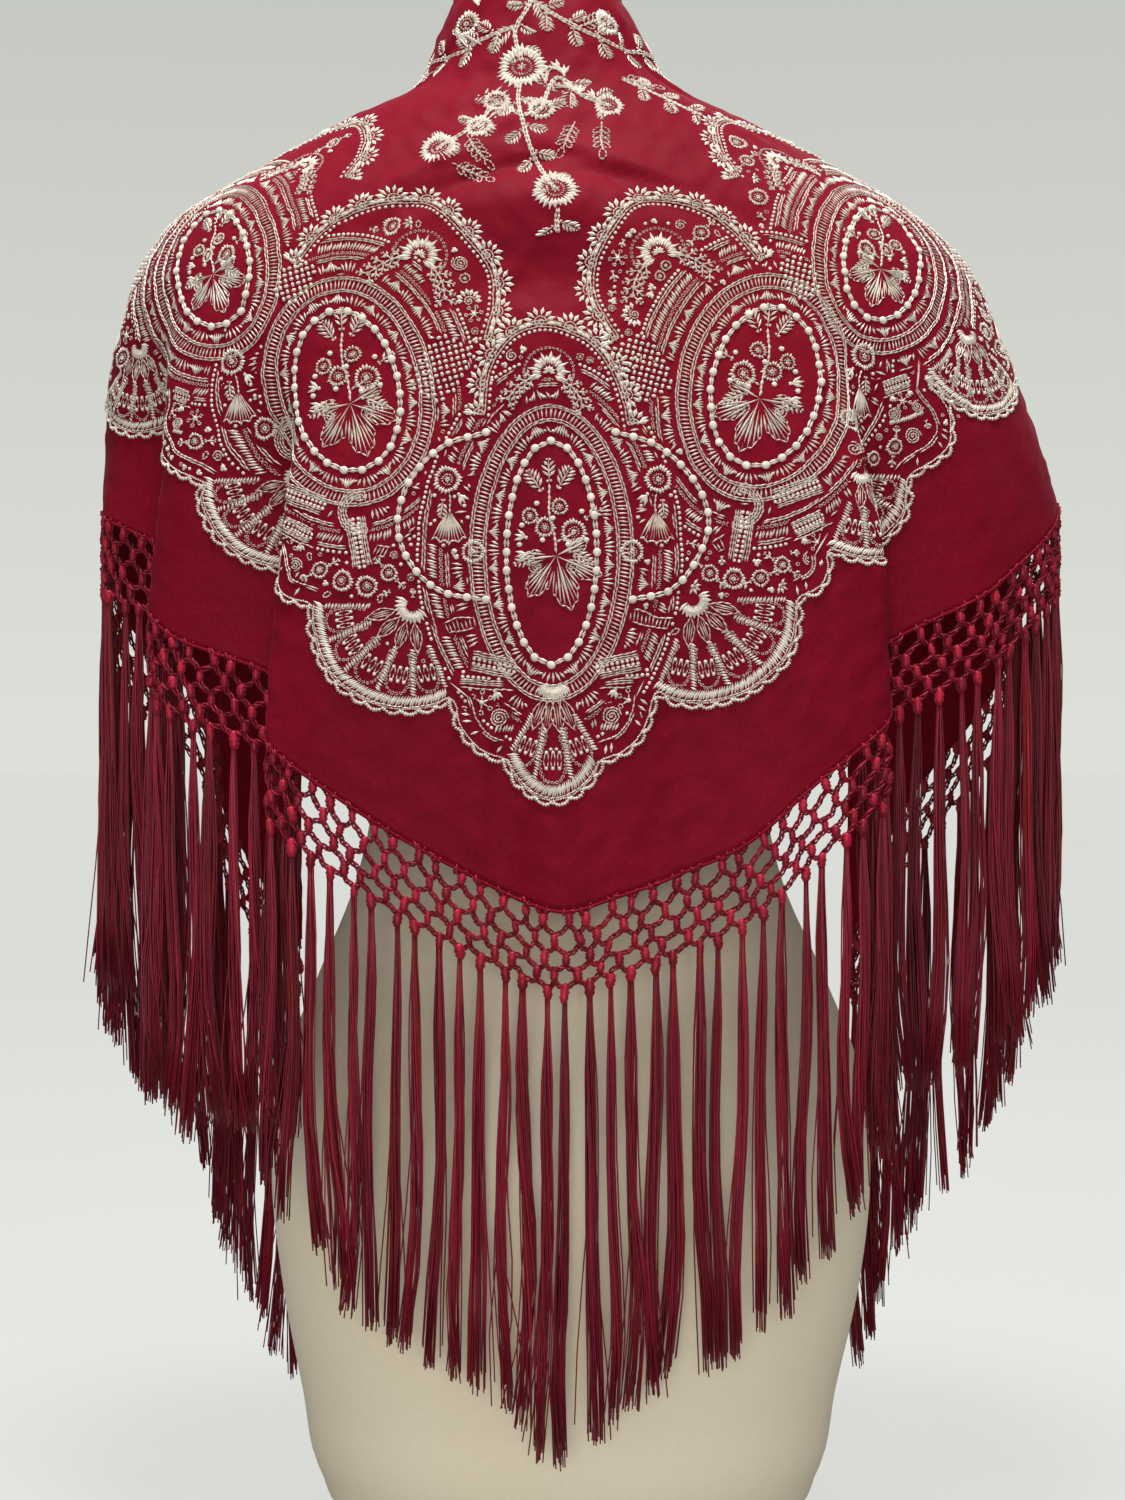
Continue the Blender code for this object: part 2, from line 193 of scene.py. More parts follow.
cloth = {
    "wall": 0.0008,
    "endAngle": 131.0,  # where the two front edges hang
    "collarBack": 0.828,
    "collarDrop": 0.074,
    "collarCurve": 5.0,
    "roundness": 2.25,  # of the plan curves, 2 for an ellipse
    "halfColumns": 132,
    "rows": 140,
    "rowCrowding": 1.08,
    "foldDensity": 60.0,
    "puckerDepth": 0.00030,
    "puckerLength": (0.009, 0.024),
    "creaseFade": 0.012,  # height above the cut edge where the creases are full
    "flat": (1.30, 0.55),
    "flatArea": 0.36,
}


def smoothLookup(at, columns, along, name):
    # cubic curve through a table's points, with each knot's slope from its neighbours
    knots, values = columns[along], columns[name]
    if knots[0] > knots[-1]:
        knots, values = knots[::-1], values[::-1]
    slopes = np.gradient(values, knots)
    at = np.clip(at, knots[0], knots[-1])
    cell = np.clip(np.searchsorted(knots, at) - 1, 0, len(knots) - 2)
    width = knots[cell + 1] - knots[cell]
    t = (at - knots[cell]) / width
    rise = t * t * (3 - 2 * t)
    return (
        values[cell] * (1 - rise)
        + values[cell + 1] * rise
        + slopes[cell] * width * t * (1 - t) ** 2
        - slopes[cell + 1] * width * t * t * (1 - t)
    )


def planRadius(angle, halfWidth, back, front):
    # superellipse whose back and front halves have their own depth
    cosine = np.cos(angle)
    depth = np.where(cosine > 0, back, front)
    power = cloth["roundness"]
    across = np.abs(np.sin(angle)) / halfWidth
    along = np.abs(cosine) / depth
    return (across**power + along**power) ** (-1 / power)


def ease(t):
    t = np.clip(t, 0, 1)
    return t * t * (3 - 2 * t)


def unit(vectors):
    return vectors / np.maximum(np.linalg.norm(vectors, axis=-1, keepdims=True), 1e-12)


def waves(x, y, lengths, count, seed):
    # even noise: a sum of plane waves with random directions, lengths and phases
    source = np.random.default_rng(seed)
    total = np.zeros(np.broadcast(x, y).shape)
    for _ in range(count):
        heading, phase = source.uniform(0, 2 * math.pi, 2)
        pull = 2 * math.pi / source.uniform(*lengths)
        total += np.sin(pull * (x * math.cos(heading) + y * math.sin(heading)) + phase)
    return total * math.sqrt(2 / count)


def foldOffsets(angle, z):
    # each fold is a cosine hump across and eases in from its start to its full height
    degrees = np.degrees(angle)
    out = np.zeros_like(degrees)
    lean = np.zeros_like(degrees)
    for centre, left, right, height, sideways, start, full in zip(*foldTable.values()):
        reach = np.where(degrees < centre, left, right)
        across = np.clip((degrees - centre) / reach, -1, 1)
        share = np.cos(across * math.pi / 2) ** 2 * ease((start - z) / (start - full))
        out += height * share
        lean += sideways * share
    return out, lean


def creaseOffsets(angle, z, girth):
    # each crease is a soft ridge: a bell across, and a longer bell along its turned line
    out = np.zeros_like(angle)
    for at, level, turn, reach, width, height in zip(*creaseTable.values()):
        x = (angle - math.radians(at)) * girth
        y = (z - level) * 1.15
        c, s = math.cos(math.radians(turn)), math.sin(math.radians(turn))
        along, across = x * c + y * s, y * c - x * s
        bend = across - 0.10 * reach * np.cos(along / reach * 2.2)
        out += height * np.exp(-((bend / width) ** 2) - (np.abs(along) / reach) ** 3)
    return out


def drape(angle, z, creased=True):
    # a point of the shawl's outer face: the plan curve at that height plus folds and creases
    centre, halfWidth, back, front = (
        smoothLookup(z, drapeTable, "z", name) for name in ("centre", "halfWidth", "back", "front")
    )
    out, lean = foldOffsets(angle, z)
    reach = planRadius(angle, halfWidth, back, front) + out
    if creased:
        offset = creaseOffsets(angle, z, reach)
        offset += cloth["puckerDepth"] * waves(angle * reach, z, cloth["puckerLength"], 26, 3)
        # creases die out at the cut edge, so that the net still meets it
        reach = reach + offset * ease((z - edgeHeight(angle)) / cloth["creaseFade"])
    x = centre + reach * np.sin(angle) + lean * np.cos(angle)
    y = -reach * np.cos(angle) + lean * np.sin(angle)
    return np.stack([x, y, z], axis=-1)


def edgeHeight(angle):
    return smoothLookup(np.degrees(angle), edgeTable, "angle", "z")


def collarHeight(angle):
    share = np.abs(np.degrees(angle)) / cloth["endAngle"]
    return cloth["collarBack"] - cloth["collarDrop"] * share ** cloth["collarCurve"]


def columnHeights(angle, shares):
    # heights that split each column, from the collar to the cut edge, by its length
    steps = np.linspace(0, 1, 161)
    top, bottom = collarHeight(angle), edgeHeight(angle)
    z = top[:, None] + (bottom - top)[:, None] * steps
    points = drape(np.repeat(angle[:, None], len(steps), axis=1), z, False)
    lengths = np.linalg.norm(np.diff(points, axis=1), axis=2)
    run = np.cumsum(np.pad(lengths, ((0, 0), (1, 0))), axis=1)
    return np.array([np.interp(shares * r[-1], r, level) for r, level in zip(run, z)])


def halfColumns(side, count):
    # one half of the columns, closer together where the folds turn
    fine = side * np.linspace(0, cloth["endAngle"], 2001)
    density = np.ones_like(fine)
    for centre, left, right, height, *_ in zip(*foldTable.values()):
        nearness = np.exp(-(((fine - centre) / (left + right)) ** 2) * 8)
        density += cloth["foldDensity"] * abs(height) * nearness
    run = np.concatenate([[0], np.cumsum((density[1:] + density[:-1]) / 2)])
    stops = np.linspace(0, run[-1], count + 1)
    return np.radians(side * np.interp(stops, run, side * fine))


def allColumns(count):
    return np.concatenate([halfColumns(-1, count)[:0:-1], halfColumns(1, count)])


def addMesh(name, points, faces, finish, tone=None, uv=None, smooth=True):
    # faces is one array, or a list of arrays, of triangles or quads
    groups = faces if isinstance(faces, list) else [faces]
    groups = [np.asarray(group, np.int32) for group in groups if len(group)]
    mesh = bpy.data.meshes.new(name)
    sizes = np.concatenate([np.full(len(g), g.shape[1], np.int32) for g in groups])
    corners = np.concatenate([g.ravel() for g in groups])
    mesh.vertices.add(len(points))
    mesh.vertices.foreach_set("co", np.asarray(points, np.float32).ravel())
    mesh.loops.add(len(corners))
    mesh.loops.foreach_set("vertex_index", corners)
    mesh.polygons.add(len(sizes))
    mesh.polygons.foreach_set("loop_start", np.concatenate([[0], np.cumsum(sizes)[:-1]]))
    mesh.update(calc_edges=True)
    mesh.validate()
    if uv is not None:
        layer = mesh.uv_layers.new(name="cloth")
        layer.data.foreach_set("uv", np.asarray(uv, np.float32)[corners].ravel())
    if tone is not None:
        shade = mesh.attributes.new("tone", "FLOAT", "POINT")
        shade.data.foreach_set("value", np.asarray(tone, np.float32).ravel())
    mesh.polygons.foreach_set("use_smooth", np.full(len(sizes), smooth))
    mesh.materials.append(finish)
    thing = bpy.data.objects.new(name, mesh)
    bpy.context.scene.collection.objects.link(thing)
    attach(thing, "root")
    return thing


def gridFaces(columns, rows, around=False):
    # quads of a grid of points, column by column
    i = np.arange(columns if around else columns - 1)[:, None]
    j = np.arange(rows - 1)[None, :]
    k = (i + 1) % columns
    quads = np.stack([i * rows + j, k * rows + j, k * rows + j + 1, i * rows + j + 1], axis=-1)
    return quads.reshape(-1, 4)


def tubes(paths, radii, sides):
    # closed tubes along many paths of equal length: paths is (count, steps, 3)
    count, steps = paths.shape[:2]
    along = unit(np.gradient(paths, axis=1))
    guide = np.where(np.abs(along[..., 2:3]) > 0.8, [1.0, 0, 0], [0, 0, 1.0])
    first = unit(np.cross(along, guide))
    second = np.cross(along, first)
    turn = np.linspace(0, 2 * math.pi, sides, endpoint=False)
    ring = first[:, :, None] * np.cos(turn)[:, None] + second[:, :, None] * np.sin(turn)[:, None]
    points = paths[:, :, None] + ring * np.asarray(radii)[..., None, None]
    t, s, k = np.meshgrid(np.arange(count), np.arange(steps - 1), np.arange(sides), indexing="ij")
    base = t * steps * sides
    n = (k + 1) % sides
    lower, upper = base + s * sides, base + (s + 1) * sides
    quads = np.stack([lower + k, lower + n, upper + n, upper + k], axis=-1).reshape(-1, 4)
    caps = []
    for ring0, way in ((0, -1), ((steps - 1) * sides, 1)):
        start = np.arange(count)[:, None] * steps * sides + ring0
        for corner in range(1, sides - 1):
            trio = np.concatenate([start, start + corner, start + corner + 1], axis=1)
            caps.append(trio[:, ::way])
    return points.reshape(-1, 3), quads, np.concatenate(caps)


# Finishes


def newFinish(name, settings):
    made = bpy.data.materials.new(name)
    made.use_nodes = True
    shader = made.node_tree.nodes["Principled BSDF"]
    for socket, value in settings.items():
        shader.inputs[socket].default_value = value
    return made, made.node_tree.nodes, made.node_tree.links, shader


def ramp(nodes, links, source, stops):
    # a colour ramp fed by source
    node = nodes.new("ShaderNodeValToRGB")
    band = node.color_ramp
    while len(band.elements) < len(stops):
        band.elements.new(0.5)
    for element, (at, colour) in zip(band.elements, stops):
        element.position = at
        element.color = (*colour, 1.0)
    links.new(source, node.inputs["Fac"])
    return node.outputs["Color"]


def blendColours(nodes, links, share, first, second):
    node = nodes.new("ShaderNodeMix")
    node.data_type = "RGBA"
    for socket, value in ((node.inputs[0], share), (node.inputs[6], first), (node.inputs[7], second)):
        if isinstance(value, bpy.types.NodeSocket):
            links.new(value, socket)
        else:
            socket.default_value = value if isinstance(value, float) else (*value, 1.0)
    return node.outputs[2]


def noise(nodes, links, coords, scale, detail=4.0, roughness=0.55, stretch=None):
    if stretch:
        mapping = nodes.new("ShaderNodeMapping")
        mapping.inputs["Scale"].default_value = stretch
        links.new(coords, mapping.inputs["Vector"])
        coords = mapping.outputs["Vector"]
    node = nodes.new("ShaderNodeTexNoise")
    node.inputs["Scale"].default_value = scale
    node.inputs["Detail"].default_value = detail
    node.inputs["Roughness"].default_value = roughness
    links.new(coords, node.inputs["Vector"])
    return node.outputs["Fac"]


def bump(nodes, links, shader, layers):
    # stacks bumps: (height socket, strength, distance)
    last = None
    for height, strength, distance in layers:
        node = nodes.new("ShaderNodeBump")
        node.inputs["Strength"].default_value = strength
        node.inputs["Distance"].default_value = distance
        links.new(height, node.inputs["Height"])
        if last:
            links.new(last, node.inputs["Normal"])
        last = node.outputs["Normal"]
    links.new(last, shader.inputs["Normal"])


def silkFinish():
    made, nodes, links, shader = newFinish("crimsonSilk", {
        "Roughness": 0.58, "Sheen Weight": 0.06, "Sheen Roughness": 0.4,
        "Sheen Tint": (1.0, 0.22, 0.34, 1.0), "Specular IOR Level": 0.03,
    })
    coords = nodes.new("ShaderNodeTexCoord")
    place, flat = coords.outputs["Object"], coords.outputs["UV"]
    cloudy = noise(nodes, links, place, 9.0, 3.0)
    colour = ramp(nodes, links, cloudy, [
        (0.30, (0.122, 0.0022, 0.0080)), (0.70, (0.180, 0.0038, 0.0135))])
    # the crepe's grain: two thread directions with uneven thickness
    warp = noise(nodes, links, flat, 1.0, 2.0, 0.5, (1500.0, 260.0, 1.0))
    weft = noise(nodes, links, flat, 1.0, 2.0, 0.5, (260.0, 1500.0, 1.0))
    grain = blendColours(nodes, links, 0.5, warp, weft)
    colour = blendColours(nodes, links, 0.30, colour, ramp(
        nodes, links, grain, [(0.35, (0.09, 0.0015, 0.006)), (0.65, (0.27, 0.0070, 0.025))]))
    links.new(colour, shader.inputs["Base Color"])
    rumple = noise(nodes, links, place, 55.0, 3.0, 0.5)
    wrinkle = noise(nodes, links, flat, 1.0, 3.0, 0.6, (60.0, 130.0, 1.0))
    bump(nodes, links, shader, [(rumple, 0.30, 0.0012), (wrinkle, 0.22, 0.0008), (grain, 0.35, 0.00025)])
    return made


def threadFinish():
    made, nodes, links, shader = newFinish("crimsonThread", {
        "Roughness": 0.40, "Specular IOR Level": 0.22, "Sheen Weight": 0.05,
        "Sheen Tint": (1.0, 0.3, 0.4, 1.0),
    })
    tone = nodes.new("ShaderNodeAttribute")
    tone.attribute_name = "tone"
    coords = nodes.new("ShaderNodeTexCoord")
    colour = ramp(nodes, links, tone.outputs["Fac"], [
        (0.0, (0.060, 0.0008, 0.004)), (0.5, (0.215, 0.0030, 0.015)), (1.0, (0.52, 0.012, 0.046))])
    fine = noise(nodes, links, coords.outputs["Object"], 420.0, 2.0)
    colour = blendColours(nodes, links, 0.25, colour, ramp(
        nodes, links, fine, [(0.3, (0.05, 0.001, 0.004)), (0.7, (0.40, 0.008, 0.034))]))
    links.new(colour, shader.inputs["Base Color"])
    bump(nodes, links, shader, [(fine, 0.4, 0.0003)])
    return made


def ivoryFinish():
    made, nodes, links, shader = newFinish("ivorySilkThread", {
        "Roughness": 0.42, "Specular IOR Level": 0.45, "Sheen Weight": 0.2,
        "Sheen Tint": (1.0, 0.95, 0.88, 1.0),
    })
    tone = nodes.new("ShaderNodeAttribute")
    tone.attribute_name = "tone"
    coords = nodes.new("ShaderNodeTexCoord")
    colour = ramp(nodes, links, tone.outputs["Fac"], [
        (0.0, (0.32, 0.24, 0.19)), (0.5, (0.52, 0.45, 0.375)), (1.0, (0.74, 0.69, 0.59))])
    fine = noise(nodes, links, coords.outputs["Object"], 700.0, 2.0)
    colour = blendColours(nodes, links, 0.20, colour, ramp(
        nodes, links, fine, [(0.35, (0.30, 0.21, 0.16)), (0.65, (0.80, 0.73, 0.61))]))
    links.new(colour, shader.inputs["Base Color"])
    bump(nodes, links, shader, [(fine, 0.35, 0.00025)])
    return made


def formFinish():
    made, nodes, links, shader = newFinish("ivoryForm", {
        "Roughness": 0.46, "Specular IOR Level": 0.4, "Coat Weight": 0.08, "Coat Roughness": 0.35,
    })
    coords = nodes.new("ShaderNodeTexCoord")
    place = coords.outputs["Object"]
    cloudy = noise(nodes, links, place, 5.0, 4.0)
    colour = ramp(nodes, links, cloudy, [(0.3, (0.83, 0.715, 0.515)), (0.7, (0.87, 0.765, 0.575))])
    specks = noise(nodes, links, place, 260.0, 3.0)
    colour = blendColours(nodes, links, 0.12, colour, ramp(
        nodes, links, specks, [(0.35, (0.66, 0.55, 0.38)), (0.65, (0.84, 0.75, 0.57))]))
    links.new(colour, shader.inputs["Base Color"])
    bump(nodes, links, shader, [(cloudy, 0.1, 0.002), (specks, 0.12, 0.0004)])
    return made


silk, thread, ivory, plaster = silkFinish(), threadFinish(), ivoryFinish(), formFinish()
print("finishes made")


# Camera, floor and light

view = {
    "distance": 1.30, "height": 0.411, "across": -0.0035,
    "tall": 0.81,  # metres of the picture's height at the axis
    "sensor": 36.0,
}
light = {
    "ambient": 0.80,
    "floorSeen": 0.635, "floorCast": 0.20,  # the floor's own light, as seen and as cast
    # power, width, place and what each lamp points at
    "key": (44.0, 0.6, (-0.01, -0.43, 2.2), (0, 0, 0.7)),
    "front": (10.5, 0.7, (-0.08, -1.75, 0.42), (0, 0, 0.38)),
    "back": (6.0, 1.4, (0.5, 1.6, 1.5), (0, 0, 0.5)),
}
floorPlan = {"sides": 96, "rings": (0.0001, 0.5, 2.0, 8.0, 40.0), "level": -0.0002}


def makeCamera():
    data = bpy.data.cameras.new("camera")
    data.sensor_width = view["sensor"]
    data.lens = view["sensor"] * view["distance"] / view["tall"]
    camera = bpy.data.objects.new("camera", data)
    camera.location = (view["across"], -view["distance"], view["height"])
    camera.rotation_euler = (math.pi / 2, 0, 0)
    bpy.context.scene.collection.objects.link(camera)
    bpy.context.scene.camera = camera


def makeWorld():
    world = bpy.data.worlds.new("studio")
    bpy.context.scene.world = world
    world.use_nodes = True
    nodes, links = world.node_tree.nodes, world.node_tree.links
    nodes.clear()
    coords = nodes.new("ShaderNodeTexCoord")
    split = nodes.new("ShaderNodeSeparateXYZ")
    links.new(coords.outputs["Generated"], split.inputs["Vector"])
    seen = ramp(nodes, links, split.outputs["Z"], [
        (0.0, (0.728, 0.750, 0.700)), (0.12, (0.66, 0.68, 0.63)), (0.32, (0.55, 0.57, 0.53))])
    path = nodes.new("ShaderNodeLightPath")
    backdrop, ambient, either, out = (nodes.new("ShaderNode" + kind) for kind in (
        "Background", "Background", "MixShader", "OutputWorld"))
    links.new(seen, backdrop.inputs["Color"])
    # what lights the shawl is bright overhead and dim at the sides; the ramp runs from -1 to 1
    share = nodes.new("ShaderNodeMapRange")
    share.inputs["From Min"].default_value = -1.0
    links.new(split.outputs["Z"], share.inputs["Value"])
    glow = ramp(nodes, links, share.outputs["Result"], [
        (0.30, (0.25, 0.25, 0.25)), (0.55, (0.30, 0.30, 0.31)), (0.90, (0.80, 0.81, 0.83))])
    links.new(glow, ambient.inputs["Color"])
    ambient.inputs["Strength"].default_value = light["ambient"]
    links.new(path.outputs["Is Camera Ray"], either.inputs["Fac"])
    links.new(ambient.outputs["Background"], either.inputs[1])
    links.new(backdrop.outputs["Background"], either.inputs[2])
    links.new(either.outputs["Shader"], out.inputs["Surface"])


def makeLight(name, power, size, place, aim):
    data = bpy.data.lights.new(name, "AREA")
    data.shape = "DISK"
    data.size = size
    data.energy = power
    lamp = bpy.data.objects.new(name, data)
    lamp.location = place
    lamp.visible_camera = False
    way = np.subtract(aim, place)
    lamp.rotation_euler = (
        math.atan2(math.hypot(way[0], way[1]), -way[2]), 0, math.atan2(way[1], way[0]) - math.pi / 2)
    bpy.context.scene.collection.objects.link(lamp)


def makeFloor():
    # a wide disc, so that its far rim is lost in the backdrop
    around = np.linspace(0, 2 * math.pi, floorPlan["sides"], endpoint=False)
    rings = np.array(floorPlan["rings"])
    points = np.stack(np.broadcast_arrays(
        np.cos(around)[:, None] * rings, np.sin(around)[:, None] * rings, floorPlan["level"]), axis=-1)
    made, nodes, links, shader = newFinish("paleFloor", {"Roughness": 0.85, "Specular IOR Level": 0.1})
    coords = nodes.new("ShaderNodeTexCoord")
    soft = noise(nodes, links, coords.outputs["Object"], 1.5, 2.0)
    links.new(ramp(nodes, links, soft, [(0.0, (0.11, 0.11, 0.11)), (1.0, (0.13, 0.13, 0.13))]),
              shader.inputs["Base Color"])
    shader.inputs["Emission Color"].default_value = (0.985, 1.0, 0.945, 1.0)
    path = nodes.new("ShaderNodeLightPath")
    glow = nodes.new("ShaderNodeMapRange")
    glow.inputs["To Min"].default_value = light["floorCast"]
    glow.inputs["To Max"].default_value = light["floorSeen"]
    links.new(path.outputs["Is Camera Ray"], glow.inputs["Value"])
    links.new(glow.outputs["Result"], shader.inputs["Emission Strength"])
    faces = gridFaces(len(around), len(rings), True)[:, ::-1]
    floor = addMesh("floor", points.reshape(-1, 3), faces, made)
    floor.parent = None


makeCamera()
makeWorld()
for name in ("key", "front", "back"):
    makeLight(name, *light[name])
makeFloor()
bpy.context.scene.view_settings.view_transform = "Standard"
print("camera, floor and light set")


# The dress form

form = {"sides": 96, "rings": 150}


def makeForm():
    # rings at plan curves, closed by a point at each end
    z = np.interp(np.linspace(0, len(formTable["z"]) - 1, form["rings"]),
                  np.arange(len(formTable["z"])), formTable["z"])
    angle = np.linspace(0, 2 * math.pi, form["sides"], endpoint=False)
    centre, halfWidth, back, front = (
        smoothLookup(z, formTable, "z", name)[None, :]
        for name in ("centre", "halfWidth", "back", "front"))
    reach = planRadius(angle[:, None], halfWidth, back, front)
    points = np.stack([
        centre + reach * np.sin(angle)[:, None],
        -reach * np.cos(angle)[:, None],
        np.broadcast_to(z, reach.shape)], axis=-1).reshape(-1, 3)
    rings = form["rings"]
    ends = np.array([(formTable["centre"][0], 0, z[0]), (formTable["centre"][-1], 0, z[-1])])
    first = np.arange(form["sides"]) * rings
    after = np.roll(first, -1)
    top = np.stack([np.full_like(first, len(points)), after, first], axis=1)
    bottom = np.stack([
        np.full_like(first, len(points) + 1), first + rings - 1, after + rings - 1], axis=1)
    faces = gridFaces(form["sides"], rings, True)[:, ::-1]
    made = addMesh("dressForm", np.concatenate([points, ends]), [faces, top, bottom], plaster)
    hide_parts("dress_form")
    return made


makeForm()
print("dress form made")


# The shawl's cloth


def makeCloth():
    columns = allColumns(cloth["halfColumns"])
    shares = np.linspace(0, 1, cloth["rows"] + 1) ** cloth["rowCrowding"]
    z = columnHeights(columns, shares)
    angle = np.repeat(columns[:, None], len(shares), axis=1)
    outer = drape(angle, z)
    across, down = np.gradient(outer, axis=0), np.gradient(outer, axis=1)
    normal = unit(np.cross(down, across))
    inner = outer - normal * cloth["wall"]
    count, rows = outer.shape[:2]
    points = np.concatenate([outer.reshape(-1, 3), inner.reshape(-1, 3)])
    front = gridFaces(count, rows)
    back = front[:, ::-1] + count * rows
    # the rim joins the two faces all round
    loop = np.concatenate([
        np.arange(count) * rows, (count - 1) * rows + np.arange(1, rows),
        np.arange(count - 2, -1, -1) * rows + rows - 1, np.arange(rows - 2, 0, -1)])
    after = np.roll(loop, -1)
    rim = np.stack([loop, loop + count * rows, after + count * rows, after], axis=1)
    level = np.linalg.norm(np.diff(outer[:, rows // 2], axis=0), axis=1)
    u = np.repeat(np.concatenate([[0], np.cumsum(level)])[:, None], rows, axis=1)
    steps = np.linalg.norm(np.diff(outer, axis=1), axis=2)
    v = -np.cumsum(np.pad(steps, ((0, 0), (1, 0))), axis=1)
    uv = np.stack([u, v], axis=-1).reshape(-1, 2)
    made = addMesh("shawlCloth", points, [front[:, ::-1], back[:, ::-1], rim[:, ::-1]], silk,
                   uv=np.concatenate([uv, uv]))
    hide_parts("shawl_cloth")
    return made


shawlCloth = makeCloth()
print("cloth made")


# The knotted net and the fringe

net = {
    "depth": 0.046,
    "pitch": 0.0108,  # along the level, with part of the slope's rise counted in
    "riseShare": 0.45,
    "rows": (0.0045, 0.0135, 0.0225, 0.0315, 0.0405),  # how far under the cut edge the knots lie
    "knotRadius": 0.0023,
    "knotHeight": 0.0068,
    "threadRadius": 0.00058,
    "threads": 3,
    "threadSpread": 0.00105,  # how far a link's threads lie from its middle
    "sag": 0.0006,
    "inward": 0.0008,  # from the cut edge towards the form
    "strayAlong": 0.0013, "strayDown": 0.0012,  # how far a knot is from its even place
    "stitchReach": 0.0032,  # from an upper knot to where its links meet the hem
    "grip": 0.8,  # share of a knot's half height that its links reach
    "knotWidths": (0.82, 1.22), "knotHeights": (0.85, 1.2), "tilt": 0.13,
    "lowest": (1.1, 1.25),  # how much wider and taller the lowest knots are
    "middleKnot": 0.0051,  # what lies nearer the middle line belongs to the right side
    "knotSides": 7, "linkSides": 4,
    "knotTone": (0.35, 0.9), "linkTone": (0.15, 0.7),
}
fringe = {
    "threads": 34, "steps": 10, "sides": 3,
    "threadRadius": 0.00048,
    "tuck": 0.0015,  # how far a strand starts under the middle of its knot
    "root": 0.0010,  # radius of a strand where it leaves its knot
    "middle": 0.0026,
    "end": 0.0034,
    "sway": 0.0035,
    "crowding": 1.5,  # power that draws a thread's steps towards its root
    "strandLengths": (0.965, 1.0), "threadLengths": (0.93, 1.0),
    "fullness": (0.85, 1.25),
    "bundles": 4,
    "bundleReach": 0.62, "ownReach": (0.15, 0.62),  # shares of a strand's radius
    "strayShare": 0.10, "strayReach": (0.5, 1.8),  # threads that part from their strand
}
hem = {"halfColumns": 220, "upright": 60, "radius": 0.0009, "sides": 6}


def strandLine():
    # the cut edge as a line of points, and where along it each strand hangs
    points, centres = [], []
    for side in (-1, 1):
        columns = halfColumns(side, 160)
        line = drape(columns, edgeHeight(columns), False)
        steps = np.diff(line, axis=0)
        lengths = np.hypot(np.hypot(steps[:, 0], steps[:, 1]), net["riseShare"] * steps[:, 2])
        run = np.concatenate([[0], np.cumsum(lengths)])
        count = round(run[-1] / net["pitch"])
        at = (np.arange(count) + 0.5) * run[-1] / count
        points.append((side * run, line))
        centres.append(side * at)
    run = np.concatenate([points[0][0][:0:-1], points[1][0]])
    line = np.concatenate([points[0][1][:0:-1], points[1][1]])
    return run, line, np.concatenate([centres[0][::-1], centres[1]])


def alongLine(run, line, at):
    return np.stack([np.interp(at, run, line[:, axis]) for axis in range(3)], axis=-1)


edgeRun, edgeLine, strandRun = strandLine()


def inwardAt(at):
    # level direction from the cut edge towards the form
    ahead = alongLine(edgeRun, edgeLine, at + 0.004) - alongLine(edgeRun, edgeLine, at - 0.004)
    inward = np.stack([-ahead[:, 1], ahead[:, 0], np.zeros(len(at))], axis=-1)
    return unit(inward)


def knotPlaces(at, level):
    # middles of one row's knots, a little uneven
    at = np.clip(at + net["strayAlong"] * np.sin(at * 913.0 + level), edgeRun[0], edgeRun[-1])
    place = alongLine(edgeRun, edgeLine, at) + inwardAt(at) * net["inward"]
    place[:, 2] -= net["rows"][level] + net["strayDown"] * np.sin(at * 577.0 + 2 * level)
    return at, place


def knotShapes(centres, tops, radius, height):
    # wrapped knots: barrels with three rounded turns of thread, along their own direction
    rings = np.linspace(0, 1, 8)
    barrel = 0.42 + 0.58 * np.sin(math.pi * rings) ** 0.5
    turns = 0.80 + 0.20 * np.abs(np.sin(3.5 * math.pi * rings))
    paths = centres[:, None] + tops[:, None] * (0.5 - rings)[None, :, None] * height[:, None, None]
    return tubes(paths, radius[:, None] * (barrel * turns), net["knotSides"])


def gather(parts):
    # joins (points, quads, triangles, tone) parts into one mesh
    points, quads, trios, tone, start = [], [], [], [], 0
    for part in parts:
        points.append(part[0])
        quads.append(part[1] + start)
        trios.append(part[2] + start)
        tone.append(np.broadcast_to(part[3], len(part[0])))
        start += len(part[0])
    faces = [np.concatenate(quads), np.concatenate(trios)]
    return np.concatenate(points), faces, np.concatenate(tone)


